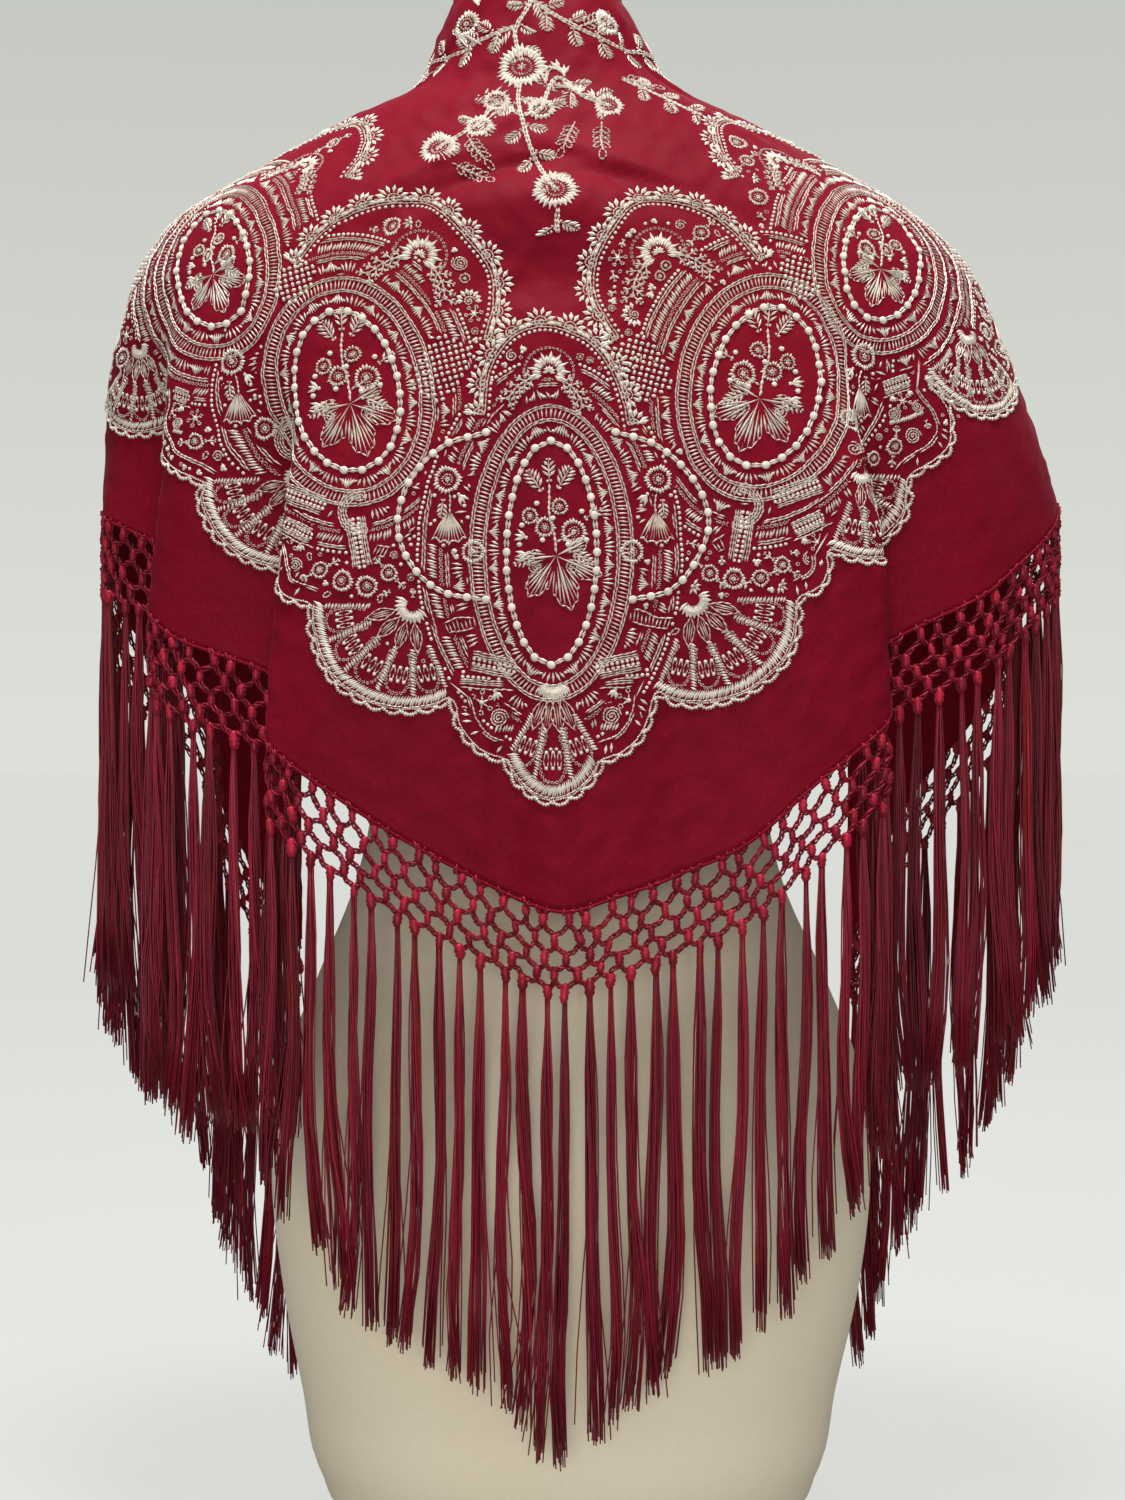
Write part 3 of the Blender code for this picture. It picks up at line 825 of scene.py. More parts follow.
def makeNet(name, node, side):
    # rows of knots, each joined to the two nearest knots of the row above, or to the hem
    rows = []
    between = (strandRun[1:] + strandRun[:-1]) / 2
    ends = [strandRun[0] - net["pitch"] / 3, strandRun[-1] + net["pitch"] / 3]
    offset = np.concatenate([[ends[0]], between, [ends[1]]])
    parts = []
    source = np.random.default_rng(40 + side)
    for level in range(len(net["rows"])):
        rows.append(knotPlaces(strandRun if level % 2 == 0 else offset, level))
    up = np.array([0, 0, 1.0])
    grip = up * (net["knotHeight"] / 2) * net["grip"]
    for level, (at, place) in enumerate(rows):
        wider, taller = net["lowest"] if level == len(rows) - 1 else (1.0, 1.0)
        if level % 2 == 0:
            mine = at * side > -1e-6
        else:
            mine = (at * side > 0.0001) | ((side > 0) & (np.abs(at) < net["middleKnot"]))
        chosen = place[mine]
        count = len(chosen)
        size = net["knotRadius"] * source.uniform(*net["knotWidths"], count) * wider
        tall = net["knotHeight"] * source.uniform(*net["knotHeights"], count) * taller
        tilt = unit(up + source.normal(0, net["tilt"], (count, 3)))
        points, quads, trios = knotShapes(chosen, tilt, size, tall)
        tone = np.repeat(source.uniform(*net["knotTone"], count), len(points) // count)
        parts.append((points, quads, trios, tone))
        for step in (-1, 1):
            if level == 0:
                over = np.clip(at[mine] + step * net["stitchReach"], edgeRun[0], edgeRun[-1])
                start = alongLine(edgeRun, edgeLine, over) + up * mm
            else:
                upperAt, upper = rows[level - 1]
                wanted = at[mine] + step * net["pitch"] / 2
                near = np.argmin(np.abs(upperAt[None, :] - wanted[:, None]), axis=1)
                start = upper[near] - grip
            parts.append(threadLinks(start, chosen + grip, source))
    points, faces, tone = gather(parts)
    made = addMesh(name, points, faces, thread, tone=tone)
    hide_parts(node)
    return made


def threadLinks(starts, ends, source):
    # threads twisted round a slack line from each start to its end
    t = np.linspace(0, 1, 5)[None, :, None]
    made = []
    way = unit(ends - starts)
    first = unit(np.cross(way, [0.3, 0.5, 0.81]))
    second = np.cross(way, first)
    sag = source.normal(0, net["sag"], (len(starts), 1, 3)) * np.sin(math.pi * t)
    phase = source.uniform(0, 2 * math.pi, (len(starts), 1, 1))
    for k in range(net["threads"]):
        turn = phase + 2 * math.pi * (k / net["threads"] + 0.6 * t)
        shift = (first[:, None] * np.cos(turn) + second[:, None] * np.sin(turn)) * net["threadSpread"]
        line = starts[:, None] * (1 - t) + ends[:, None] * t + sag + shift
        line[..., 2] -= net["sag"] * np.sin(math.pi * t[..., 0])
        made.append(line)
    paths = np.concatenate(made)
    radii = np.full(paths.shape[:2], net["threadRadius"])
    points, quads, trios = tubes(paths, radii, net["linkSides"])
    tone = np.repeat(source.uniform(*net["linkTone"], len(paths)), len(points) // len(paths))
    return points, quads, trios, tone


def makeFringe(name, node, side):
    # each strand is a loose bundle of threads in four twisted sub-bundles, which part
    # towards the free end
    mine = strandRun[strandRun * side > 0]
    source = np.random.default_rng(60 + side)
    count, threads, steps = len(mine), fringe["threads"], fringe["steps"]
    top = knotPlaces(mine, len(net["rows"]) - 1)[1]
    top[:, 2] -= fringe["tuck"]
    turn = np.degrees(np.arctan2(top[:, 0], -top[:, 1]))
    length = smoothLookup(turn, strandTable, "angle", "length")
    length = length + net["depth"] - net["rows"][-1] - fringe["tuck"]
    length = length * source.uniform(*fringe["strandLengths"], count)
    t = np.linspace(0, 1, steps)[None, None, :] ** fringe["crowding"]
    # the strand's own line: a slow wander that grows downwards
    phase = source.uniform(0, 2 * math.pi, (count, 4))
    wander = np.zeros((count, 1, steps, 3))
    for k, pull in enumerate((1.1, 2.4)):
        grow = fringe["sway"] * t ** (1.3 - 0.4 * k) / (1 + 1.4 * k)
        swing = 2 * math.pi * pull * t * 0.5
        wander[..., 0] += grow * np.sin(swing + phase[:, None, k:k + 1])
        wander[..., 1] += 0.7 * grow * np.sin(swing + phase[:, None, k + 2:k + 3])
    wander -= wander[:, :, :1]
    # sub-bundles and the threads inside them
    bundle = source.integers(0, fringe["bundles"], (count, threads, 1))
    spin = source.uniform(-1.2, 1.2, (count, 1, 1)) + 0.9
    bundleTurn = bundle * 2 * math.pi / fringe["bundles"] + phase[:, None, :1] + spin * t * 3.2
    body = fringe["root"] + (fringe["middle"] - fringe["root"]) * ease(t / 0.25)
    body = body + (fringe["end"] - fringe["middle"]) * ease((t - 0.35) / 0.65)
    body = body * source.uniform(*fringe["fullness"], (count, 1, 1))
    each = (count, threads, 1)
    ownTurn = source.uniform(0, 2 * math.pi, each) + source.uniform(-3, 3, each) * t
    ownReach = source.uniform(*fringe["ownReach"], each)
    stray = source.uniform(0, 1, each) > 1 - fringe["strayShare"]
    stray = stray * ease((t - 0.3) / 0.7) * source.uniform(*fringe["strayReach"], each)
    reach = body * (fringe["bundleReach"] + stray)
    x = reach * np.cos(bundleTurn) + body * ownReach * np.cos(ownTurn)
    y = reach * np.sin(bundleTurn) + body * ownReach * np.sin(ownTurn)
    drop = length[:, None, None] * t * source.uniform(*fringe["threadLengths"], each)
    paths = top[:, None, None] + wander + np.stack([x, y, -drop], axis=-1)
    paths = paths.reshape(-1, steps, 3)
    radii = np.broadcast_to(fringe["threadRadius"] * np.linspace(1.0, 0.8, steps), paths.shape[:2])
    points, quads, trios = tubes(paths, radii, fringe["sides"])
    own = 0.42 + source.normal(0, 0.16, (count, threads)) + source.normal(0, 0.08, (count, 1))
    tone = np.repeat(np.clip(own, 0, 1).ravel(), steps * fringe["sides"])
    made = addMesh(name, points, [quads, trios], thread, tone=tone)
    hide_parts(node)
    return made


def makeHem():
    # a narrow rolled hem along the cut edge, up both front edges and round the collar
    columns = allColumns(hem["halfColumns"])
    share = np.linspace(0.01, 0.99, hem["upright"])
    end = columns[-1]
    side = edgeHeight(end) * (1 - share) + collarHeight(end) * share
    lines = [
        drape(columns, edgeHeight(columns)),
        drape(np.full_like(side, -end), side), drape(np.full_like(side, end), side),
        drape(columns[::2], collarHeight(columns[::2]))]
    parts = [(*tubes(line[None], np.full((1, len(line)), hem["radius"]), hem["sides"]), 0.5)
             for line in lines]
    points, faces, _ = gather(parts)
    made = addMesh("rolledHem", points, faces, silk, uv=points[:, [0, 2]])
    return made


trims = [makeHem()]
for side, word in ((-1, "Left"), (1, "Right")):
    trims.append(makeNet("net" + word, "net_" + word.lower(), side))
    trims.append(makeFringe("fringe" + word, "fringe_" + word.lower(), side))
print("net and fringe made")


# The embroidery, sewn in ivory silk. A motif is a pair of arrays in millimetres on flat
# cloth: stitches (x0, y0, x1, y1, width, height, tone) and knots (x, y, long, short,
# turn, height, tone). Each is then laid on the draped cloth from where it is anchored.

sewing = {
    "lift": 0.00022,  # above the cloth's face
    "cord": 1.05, "fine": 0.75,  # widths of thread, in mm
    "weight": 1.22,  # by which every thread is thickened
    "steps": 5,  # steps taken over the cloth from an anchor to a stitch
    "cell": 0.0009,  # grid that records where the cloth is already sewn
}


def sewn(x0, y0, x1, y1, width=1.0, high=0.5, tone=0.5):
    rows = np.broadcast_arrays(*(np.asarray(v, float) for v in (x0, y0, x1, y1, width, high, tone)))
    return [np.stack([v.ravel() for v in rows], axis=1), np.zeros((0, 7))]


def knots(x, y, long=0.8, short=0.8, turn=0.0, high=0.8, tone=0.7):
    rows = np.broadcast_arrays(*(np.asarray(v, float) for v in (x, y, long, short, turn, high, tone)))
    return [np.zeros((0, 7)), np.stack([v.ravel() for v in rows], axis=1)]


def together(*parts):
    return [np.concatenate([part[kind] for part in parts]) for kind in (0, 1)]


def moved(part, x=0.0, y=0.0, turn=0.0, size=1.0, flip=1):
    # a copy of a motif, mirrored, scaled, turned in degrees and shifted
    c, s = math.cos(math.radians(turn)), math.sin(math.radians(turn))
    lines, dots = part[0].copy(), part[1].copy()
    for rows, at in ((lines, 0), (lines, 2), (dots, 0)):
        u, v = rows[:, at] * flip * size, rows[:, at + 1] * size
        rows[:, at], rows[:, at + 1] = x + c * u - s * v, y + s * u + c * v
    dots[:, 2:4] *= size
    dots[:, 4] = dots[:, 4] * flip + math.radians(turn)
    return [lines, dots]


def curve(points, step):
    # a smooth line through a few points, resampled at even steps: points, and unit directions
    points = np.asarray(points, float)
    knot = np.concatenate([[0], np.cumsum(np.linalg.norm(np.diff(points, axis=0), axis=1))])
    fine = np.linspace(0, knot[-1], 40 * len(points))
    table = {"t": knot, "x": points[:, 0], "y": points[:, 1]}
    smooth = np.stack([smoothLookup(fine, table, "t", axis) for axis in "xy"], axis=1)
    run = np.concatenate([[0], np.cumsum(np.linalg.norm(np.diff(smooth, axis=0), axis=1))])
    count = max(2, round(run[-1] / step) + 1)
    at = np.linspace(0, run[-1], count)
    spots = np.stack([np.interp(at, run, smooth[:, k]) for k in (0, 1)], axis=1)
    return spots, unit(np.gradient(spots, axis=0))


def beside(points, distance):
    # the line that runs at a distance to the left of another
    points = np.asarray(points, float)
    way = unit(np.gradient(points, axis=0))
    return points + np.stack([-way[:, 1], way[:, 0]], axis=1) * distance


def cord(points, width=None, stitch=2.6, tone=0.65, high=0.6):
    # stem stitch: slanted stitches that overlap along a line
    spots, way = curve(points, stitch)
    side = np.stack([-way[:, 1], way[:, 0]], axis=1) * 0.15
    start = spots[:-1] - side[:-1]
    end = spots[1:] + (spots[1:] - spots[:-1]) * 0.35 + side[1:]
    return sewn(*start.T, *end.T, width or sewing["cord"], high, tone)


def band(points, inner, outer, step=2.2, width=None, lean=0.0, ragged=0.0, tone=0.55):
    # satin stitches laid across a line, from one distance beside it to another
    spots, way = curve(points, step)
    side = np.stack([-way[:, 1], way[:, 0]], axis=1)
    reach = outer + ragged * np.sin(np.arange(len(spots)) * 2.4)
    start = spots + side * inner
    end = spots + side * reach[:, None] + way * lean
    return sewn(*start.T, *end.T, width or sewing["fine"], 0.45, tone)


def knotRow(points, step=1.9, long=0.75, short=0.65, tone=0.75):
    spots, way = curve(points, step)
    return knots(*spots.T, long, short, np.arctan2(way[:, 1], way[:, 0]), 0.7, tone)


def arc(radius, start, end, x=0.0, y=0.0, tall=None, count=24):
    # points of an arc, in degrees from straight up, positive to the right
    turn = np.radians(np.linspace(start, end, count))
    return np.stack([x + radius * np.sin(turn), y + (tall or radius) * np.cos(turn)], axis=1)


def petals(turns, root, tip, width, count=3, tone=0.7, thick=None):
    # satin petals round a middle: a few stitches side by side, the longest in each middle
    turn = np.radians(np.asarray(turns, float))[:, None]
    across = np.linspace(-1, 1, count)[None, :] if count > 1 else np.zeros((1, 1))
    reach = root + (tip - root) * np.sqrt(1 - (0.78 * across) ** 2)
    x0 = root * np.sin(turn) + 0.25 * width * across * np.cos(turn)
    y0 = root * np.cos(turn) - 0.25 * width * across * np.sin(turn)
    x1 = reach * np.sin(turn) + 0.5 * width * across * np.cos(turn)
    y1 = reach * np.cos(turn) - 0.5 * width * across * np.sin(turn)
    return sewn(x0, y0, x1, y1, thick or max(0.8, 1.3 * width / count), 0.7, tone)


def ringlets(points, step=1.9, radius=0.72, thread=0.42):
    # a chain of tiny open circles along a line
    spots = curve(points, step)[0] if len(points) > 1 else np.array(points, float)
    turn = np.linspace(0, 2 * math.pi, 6)
    x = spots[:, :1] + radius * np.cos(turn)
    y = spots[:, 1:] + radius * np.sin(turn)
    return sewn(x[:, :-1], y[:, :-1], x[:, 1:], y[:, 1:], thread, 0.4, 0.7)


def wheel(radius, spokes=None, hole=0.56):
    # buttonhole flower: thick short spokes in a ring, a dashed circle and a small star inside
    count = spokes or int(8 + 2.2 * radius)
    turn = np.linspace(0, 2 * math.pi, count, endpoint=False)
    reach = radius * (0.93 + 0.09 * np.cos(turn * 5 + 1) * np.cos(turn * 2))
    inner = radius * hole
    parts = [sewn(
        inner * np.sin(turn), inner * np.cos(turn), reach * np.sin(turn), reach * np.cos(turn),
        4.6 * radius / count, 0.8, 0.72)]
    if radius > 3.4:
        heart = np.linspace(0, 2 * math.pi, int(5 + radius * 1.3), endpoint=False)
        parts.append(sewn(
            0.40 * radius * np.sin(heart), 0.40 * radius * np.cos(heart),
            0.27 * radius * np.sin(heart + 0.2), 0.27 * radius * np.cos(heart + 0.2), 0.62, 0.5, 0.6))
    parts.append(petals(np.linspace(0, 300, 6), 0.1, 0.17 * radius + 0.4, 0.8, 1, 0.8, 0.9))
    return together(*parts)


def spiral(radius, turns=2.0, width=0.7):
    t = np.linspace(0, 1, 30)
    reach, turn = radius * (1 - 0.88 * t), turns * 2 * math.pi * t
    points = np.stack([reach * np.cos(turn), reach * np.sin(turn)], axis=1)
    return cord(points, width, 1.5, 0.6, 0.5)


def rosette():
    # a spiral under a crown of thick petals
    return together(spiral(3.3), petals(np.linspace(-92, 92, 8), 3.6, 8.2, 1.0, 1, 0.8, 1.8))


def arch(points, flip=1):
    # three fine lines joined by rosettes that face outwards
    spots, way = curve(points, 15.0)
    even = curve(points, 2.0)[0]
    parts = [cord(beside(even, d * flip), 0.75, 2.6, 0.55) for d in (-2.4, -0.9, 0.7)]
    parts.append(knotRow(beside(even, -4.2 * flip), 3.2, 0.9, 0.8))
    for (x, y), (dx, dy) in zip(spots, way):
        out = math.degrees(math.atan2(dy, dx)) + (0 if flip > 0 else 180)
        parts.append(moved(rosette(), x, y, out))
    return together(*parts)


def halfFlower(radius=12.0):
    # thick petals over most of a wheel with striped ones between, and leafy side sprigs
    parts = [
        petals(np.linspace(-112, 112, 9), radius * 0.34, radius, radius * 0.30, 3, 0.72),
        sewn(0, 0, radius * 0.3 * np.sin(np.radians(np.linspace(-100, 100, 7))),
             radius * 0.3 * np.cos(np.radians(np.linspace(-100, 100, 7))), 1.3, 0.8, 0.8),
        ringlets(arc(radius * 1.12, -118, 118), 2.2, 0.7)]
    for way in (-1, 1):
        stem = np.array([(way * 4, -3), (way * 10, -5), (way * 16, -10), (way * 20, -17)])
        parts.append(cord(stem, 0.9, 2.4, 0.65))
        spots, direction = curve(stem, 4.4)
        for (x, y), (dx, dy) in zip(spots[1:], direction[1:]):
            turn = math.degrees(math.atan2(dy, dx)) - 90
            parts.append(moved(leaf(6.5, 3.6), x, y, turn + 52))
            parts.append(moved(leaf(6.5, 3.6), x, y, turn - 52))
    return together(*parts)


def vineLeaf(size=20.0):
    # five pointed lobes: long thin stitches from a vein, parted by silk, with an outlined edge
    parts = []
    for turn, share in ((-100, 0.62), (-50, 0.88), (0, 1.0), (50, 0.88), (100, 0.62)):
        across = np.linspace(-1, 1, 9)
        spread = np.radians(turn + across * 21)
        tip = size * share * (1 - 0.34 * np.abs(across) ** 1.4 + 0.03 * np.cos(np.arange(9) * math.pi))
        root = size * (0.12 + 0.22 * (np.arange(9) % 2) + 0.16 * np.abs(across))
        x1, y1 = tip * np.sin(spread), tip * np.cos(spread)
        parts.append(sewn(
            root * np.sin(spread), root * np.cos(spread), x1, y1, 0.62 + 0.010 * size, 0.7, 0.7))
        parts.append(sewn(x1[:-1], y1[:-1], x1[1:], y1[1:], 0.7, 0.5, 0.7))
        middle, rib = math.radians(turn), size * share * 0.85
        parts.append(sewn(0, 0, rib * math.sin(middle), rib * math.cos(middle), 1.1, 0.9, 0.75))
    return together(*parts)


def leaf(length=10.0, width=5.0):
    # slanted satin stitches on both sides of a rib
    t = np.linspace(0.05, 0.9, max(3, int(length / 1.9)))
    half = width / 2 * np.sin(math.pi * t ** 0.8) + 0.3
    parts = [sewn(0, 0, 0, length, 0.75, 0.5, 0.6)]
    for way in (-1, 1):
        parts.append(sewn(way * 0.2, t * length, way * half, t * length + half * 0.9, 1.1, 0.65, 0.7))
    return together(*parts)


def bud(length=5.0):
    return together(petals([-26, 0, 26], 0.2, length, 1.4, 1, 0.75, 1.6), knots(0, 0, 0.9, 0.8))


def loop(length=5.0, width=2.4):
    # a lazy-daisy loop
    turn = np.linspace(0, 2 * math.pi, 9)
    points = np.stack([width / 2 * np.sin(turn), length / 2 * (1 - np.cos(turn))], axis=1)
    return sewn(*points[:-1].T, *points[1:].T, 0.8, 0.5, 0.65)


def loopSpray(length=26.0, pairs=4):
    parts = [cord([(0, 0), (0.6, length / 2), (0, length)], 0.85, 2.4)]
    for k in range(pairs):
        y = length * (0.22 + 0.72 * k / pairs)
        for way in (-1, 1):
            parts.append(moved(loop(5.6, 2.7), 0.3, y, -way * 48))
    parts.append(moved(loop(7.0, 3.6), 0, length))
    return together(*parts)


def shell(length=16.0, span=58.0, spokes=11):
    # a scallop shell: long spokes in a fan with a corded end
    turn = np.radians(np.linspace(-span / 2, span / 2, spokes))
    reach = length * (0.93 + 0.07 * np.cos(turn * 22))
    points = np.stack([reach * np.sin(turn), reach * np.cos(turn)], axis=1)
    ribs = sewn(0.1 * points[:, 0], 0.1 * points[:, 1], *points.T, 0.95, 0.6, 0.6)
    return together(ribs, cord(points, 0.85, 2.0))


def trellis(wide, tall, pitch=4.3):
    # a filling of slanted knots in crossing rows
    columns, rows = int(wide / pitch) + 1, int(tall / pitch) + 1
    i, j = np.meshgrid(np.arange(columns), np.arange(rows * 2), indexing="ij")
    x = (i + 0.5 * (j % 2) - columns / 2) * pitch
    y = (j / 2 - rows / 2) * pitch
    keep = (np.abs(x) / (wide / 2)) ** 2.4 + (np.abs(y) / (tall / 2)) ** 2.4 < 1
    slant = 0.75 * (-1) ** np.round(2 * y[keep] / pitch)
    return knots(x[keep], y[keep], 1.35, 0.9, slant, 1.1, 0.72)


def scroll(size=12.0):
    # a C of four lines with a curl at each end
    parts = []
    for d in (0, 1.3, 2.6, 3.9):
        parts.append(cord(arc(size - d, -150, 30, count=26), 0.8, 2.4, 0.55))
    start, end = math.radians(-150), math.radians(30)
    parts.append(moved(spiral(3.8), (size - 4) * math.sin(start), (size - 1) * math.cos(start), 40))
    parts.append(moved(spiral(3.2), (size - 3.6) * math.sin(end), (size - 3.6) * math.cos(end), -60))
    return together(*parts)


def knotBar(length, wide=9.0):
    # two rows of knots between rails of three lines
    up = np.array([(0, 0), (0, length / 2), (0, length)], float)
    parts = [cord(beside(up, d), 0.7, 3.2, 0.6) for d in (
        -wide / 2, -wide / 2 + 1.1, -wide / 2 + 2.2, wide / 2 - 2.2, wide / 2 - 1.1, wide / 2)]
    for d in (-1.15, 1.15):
        parts.append(knotRow(beside(up, d), 2.5, 1.0, 0.95, 0.85))
    return together(*parts)


def dotFlower(radius=4.5):
    # a knot with short arms, each ending in a small open circle
    turn = np.linspace(0, 2 * math.pi, 7)[:-1]
    parts = [
        knots(0, 0, 1.3, 1.2, 0, 1.0, 0.85),
        sewn(0, 0, radius * 0.75 * np.sin(turn), radius * 0.75 * np.cos(turn), 0.7, 0.5, 0.7)]
    for t in turn:
        parts.append(ringlets([(radius * math.sin(t), radius * math.cos(t))], 9, 0.24 * radius, 0.6))
    return together(*parts)


def dumbbells(count, pitch, low, high):
    # pairs of round knots joined by two bowed threads
    x = (np.arange(count) - (count - 1) / 2) * pitch
    parts = [knots(x, np.full(count, y), 1.05, 0.95, math.pi / 2, 1.0, 0.9) for y in (low, high)]
    middle = (low + high) / 2
    for way in (-1, 1):
        parts.append(sewn(x + way * 0.6, low, x + way * 1.0, middle, 0.5, 0.45, 0.65))
        parts.append(sewn(x + way * 1.0, middle, x + way * 0.6, high, 0.5, 0.45, 0.65))
    return together(*parts)


def fanReach(share, radius, point):
    # the rim's distance from the root, at a share from -1 to 1 of the half span
    return radius * (1 - point * np.abs(share) ** 1.5)


def fan(radius=50.0, span=112.0, lobes=5, point=0.05):
    # a border scallop, pointing up from its root: a palmette, then lobes edged with tiny
    # circles that hold long beads, slanted satin columns between, and a slanted satin band
    palmette = np.linspace(-span * 0.62, span * 0.62, 11)
    parts = [
        petals(palmette, radius * 0.05, radius * 0.24, radius * 0.09, 2, 0.75, 1.7),
        vineFingers(radius, span)]
    width = span / lobes
    for k in range(lobes):
        middle = -span / 2 + width * (k + 0.5)
        reach = fanReach(middle / (span / 2), radius, point)
        wide = reach * math.tan(math.radians(width / 2))
        outline = np.array([(-0.30, 0.47), (-0.55, 0.64), (-0.52, 0.76), (-0.28, 0.835),
                            (0.28, 0.835), (0.52, 0.76), (0.55, 0.64), (0.30, 0.47)]) * (wide, reach)
        beads = dumbbells(3 if wide > 7 else 2, 3.1, reach * 0.60, reach * 0.73)
        lobe = together(ringlets(outline, 2.0, 0.72), beads)
        parts.append(moved(lobe, 0, 0, -middle))
    for k in range(lobes + 1):
        side = -span / 2 + width * k
        reach = fanReach(side / (span / 2), radius, point)
        column = np.array([(0, reach * 0.42), (0, reach * 0.62), (0, reach * 0.84)])
        parts.append(moved(band(column, -1.5, 1.5, 1.45, 1.0, 1.1, 0.0, 0.68), 0, 0, -side))
    share = np.linspace(-1, 1, 18)
    turn = np.radians(share * span / 2)
    rim = fanReach(share, radius, point)
    rim = np.stack([rim * np.sin(turn), rim * np.cos(turn)], axis=1)
    parts.append(band(rim, -radius * 0.135, -1.9, 1.35, 1.2, 2.6, 0.5, 0.72))
    parts.append(cord(beside(rim, -1.5), 0.7, 2.6))
    return together(*parts)


def vineFingers(radius, span):
    # long outlined leaves that spread from the root, striped lengthwise
    parts = []
    for turn in np.linspace(-span * 0.36, span * 0.36, 4):
        length, wide = radius * 0.44, radius * 0.055
        edge = [(0, radius * 0.16), (wide, radius * 0.30), (wide * 0.6, radius * 0.38), (0, length)]
        other = [(-x, y) for x, y in edge]
        low, high = np.array([0, 0.4, -0.4]) * wide, np.array([0, 0.3, -0.3]) * wide
        stripes = sewn(low, radius * 0.2, high, length * 0.9, 0.55, 0.5, 0.6)
        parts.append(moved(together(cord(edge, 0.6, 3.0), cord(other, 0.6, 3.0), stripes), 0, 0, -turn))
    return together(*parts)


def starWindow():
    # what fills the silk between two border scallops, hanging down from its top middle
    return together(
        moved(knotBar(20), 10, -2, 90), moved(dotFlower(5.0), 0, -15),
        moved(spiral(4.6, 3), 9, -22), moved(spiral(4.6, 3), -9, -22),
        cord([(-14, -8), (0, -8.5), (14, -8)], 0.7, 3.0),
        band([(-15, -29), (0, -30), (15, -29)], 0.5, 4.2, 1.4, 1.0, 1.6, 0.4, 0.7),
        moved(bud(5), -6, -9, 150), moved(bud(5), 6, -9, -150))


def bridge():
    # upright bars in a low four-sided frame under a wavy line
    x = np.linspace(-10, 10, 12)
    top = 5 + 1.2 * np.sin(x * 0.9)
    return together(
        sewn(x, 0, x * 1.1, top, 0.62, 0.5, 0.62), cord([(-10, 0), (0, -0.6), (10, 0)], 0.7, 3.0),
        cord([(-11, 5), (-4, 6.2), (4, 4.4), (11, 5.6)], 0.7, 3.0))


def scallopCord(length, pitch=8.4, deep=2.1):
    # the thick corded edge: small scallops hanging under a run along +X, a fine line inside
    count = int(length / pitch)
    t = np.linspace(0, length, count * 7 + 1)
    y = -deep * np.abs(np.sin(math.pi * t / length * count)) ** 0.65
    points = np.stack([t, y], axis=1)
    ahead = points[1:] + 0.3 * (points[1:] - points[:-1])
    return together(sewn(*points[:-1].T, *ahead.T, 1.85, 1.2, 0.82),
                    sewn(t[:-1], 0.6, t[1:] + 0.4, 0.6, 0.8, 0.5, 0.65))


def pearls(points, step=9.2, closed=False):
    # satin pearls joined by pairs of short links
    spot, _ = curve(points, step)
    spot = spot[:-1] if closed else spot
    after = np.roll(spot, -1, axis=0)
    way = unit(after - spot)
    side = np.stack([-way[:, 1], way[:, 0]], axis=1)
    parts = [knots(*spot.T, 2.25, 2.0, np.arctan2(way[:, 1], way[:, 0]), 1.5, 0.80)]
    links = slice(None) if closed else slice(0, -1)
    for shift in (-0.6, 0.6):
        start, end = spot + way * 1.6 + side * shift, after - way * 1.6 + side * shift
        parts.append(sewn(*start[links].T, *end[links].T, 1.15, 0.8, 0.8))
    return together(*parts)


def medallion(a, b):
    # an oval of pearls, a leafy satin ring and a ladder between double lines
    parts = [pearls(arc(a, 0, 360, tall=b, count=60), 9.2, True), leafRing(a + 3.0, b + 3.0, 6.0)]
    for out in (9.8, 10.9, 16.6, 17.7):
        parts.append(cord(arc(a + out, 0, 360, tall=b + out, count=70), 0.7, 3.2))
    parts.append(band(arc(a + 10.9, 0, 360, tall=b + 10.9, count=70), 0.3, 5.6, 1.9, 0.75, 0.7))
    return together(*parts)


def outerRings(a, b):
    # further rings, of which only what falls on bare silk is sewn
    parts = [leafRing(a + 20.0, b + 20.0, 6.4)]
    for out in (19.2, 27.4, 28.5):
        parts.append(cord(arc(a + out, 0, 360, tall=b + out, count=80), 0.7, 3.2))
    parts.append(ringlets(arc(a + 30.6, 0, 360, tall=b + 30.6, count=80), 2.1, 0.8))
    parts.append(band(arc(a + 32, 0, 360, tall=b + 32, count=80), 0.3, 4.4, 1.5, 1.0, 1.6, 0.6))
    for out in (37.8, 38.9):
        parts.append(cord(arc(a + out, 0, 360, tall=b + out, count=80), 0.7, 3.2))
    parts.append(knotRow(arc(a + 40.9, 0, 360, tall=b + 40.9, count=80), 2.6, 0.94, 0.85))
    return together(*parts)


def leafRing(a, b, deep):
    # slanted satin leaves side by side round an oval: their stitches lengthen and shorten
    ring = arc(a, 0, 360, tall=b, count=60)
    spots, way = curve(ring, 1.45)
    k = np.arange(len(spots))
    swell = np.abs(np.sin(k * math.pi / 6.0))
    side = np.stack([-way[:, 1], way[:, 0]], axis=1)
    slant = way * (2.0 * np.cos(k * math.pi / 6.0))[:, None]
    start = spots + side * (0.4 + 1.2 * (1 - swell))[:, None]
    end = spots + side * (deep * (0.45 + 0.55 * swell))[:, None] + slant
    return sewn(*start.T, *end.T, 1.0, 0.55, 0.6)


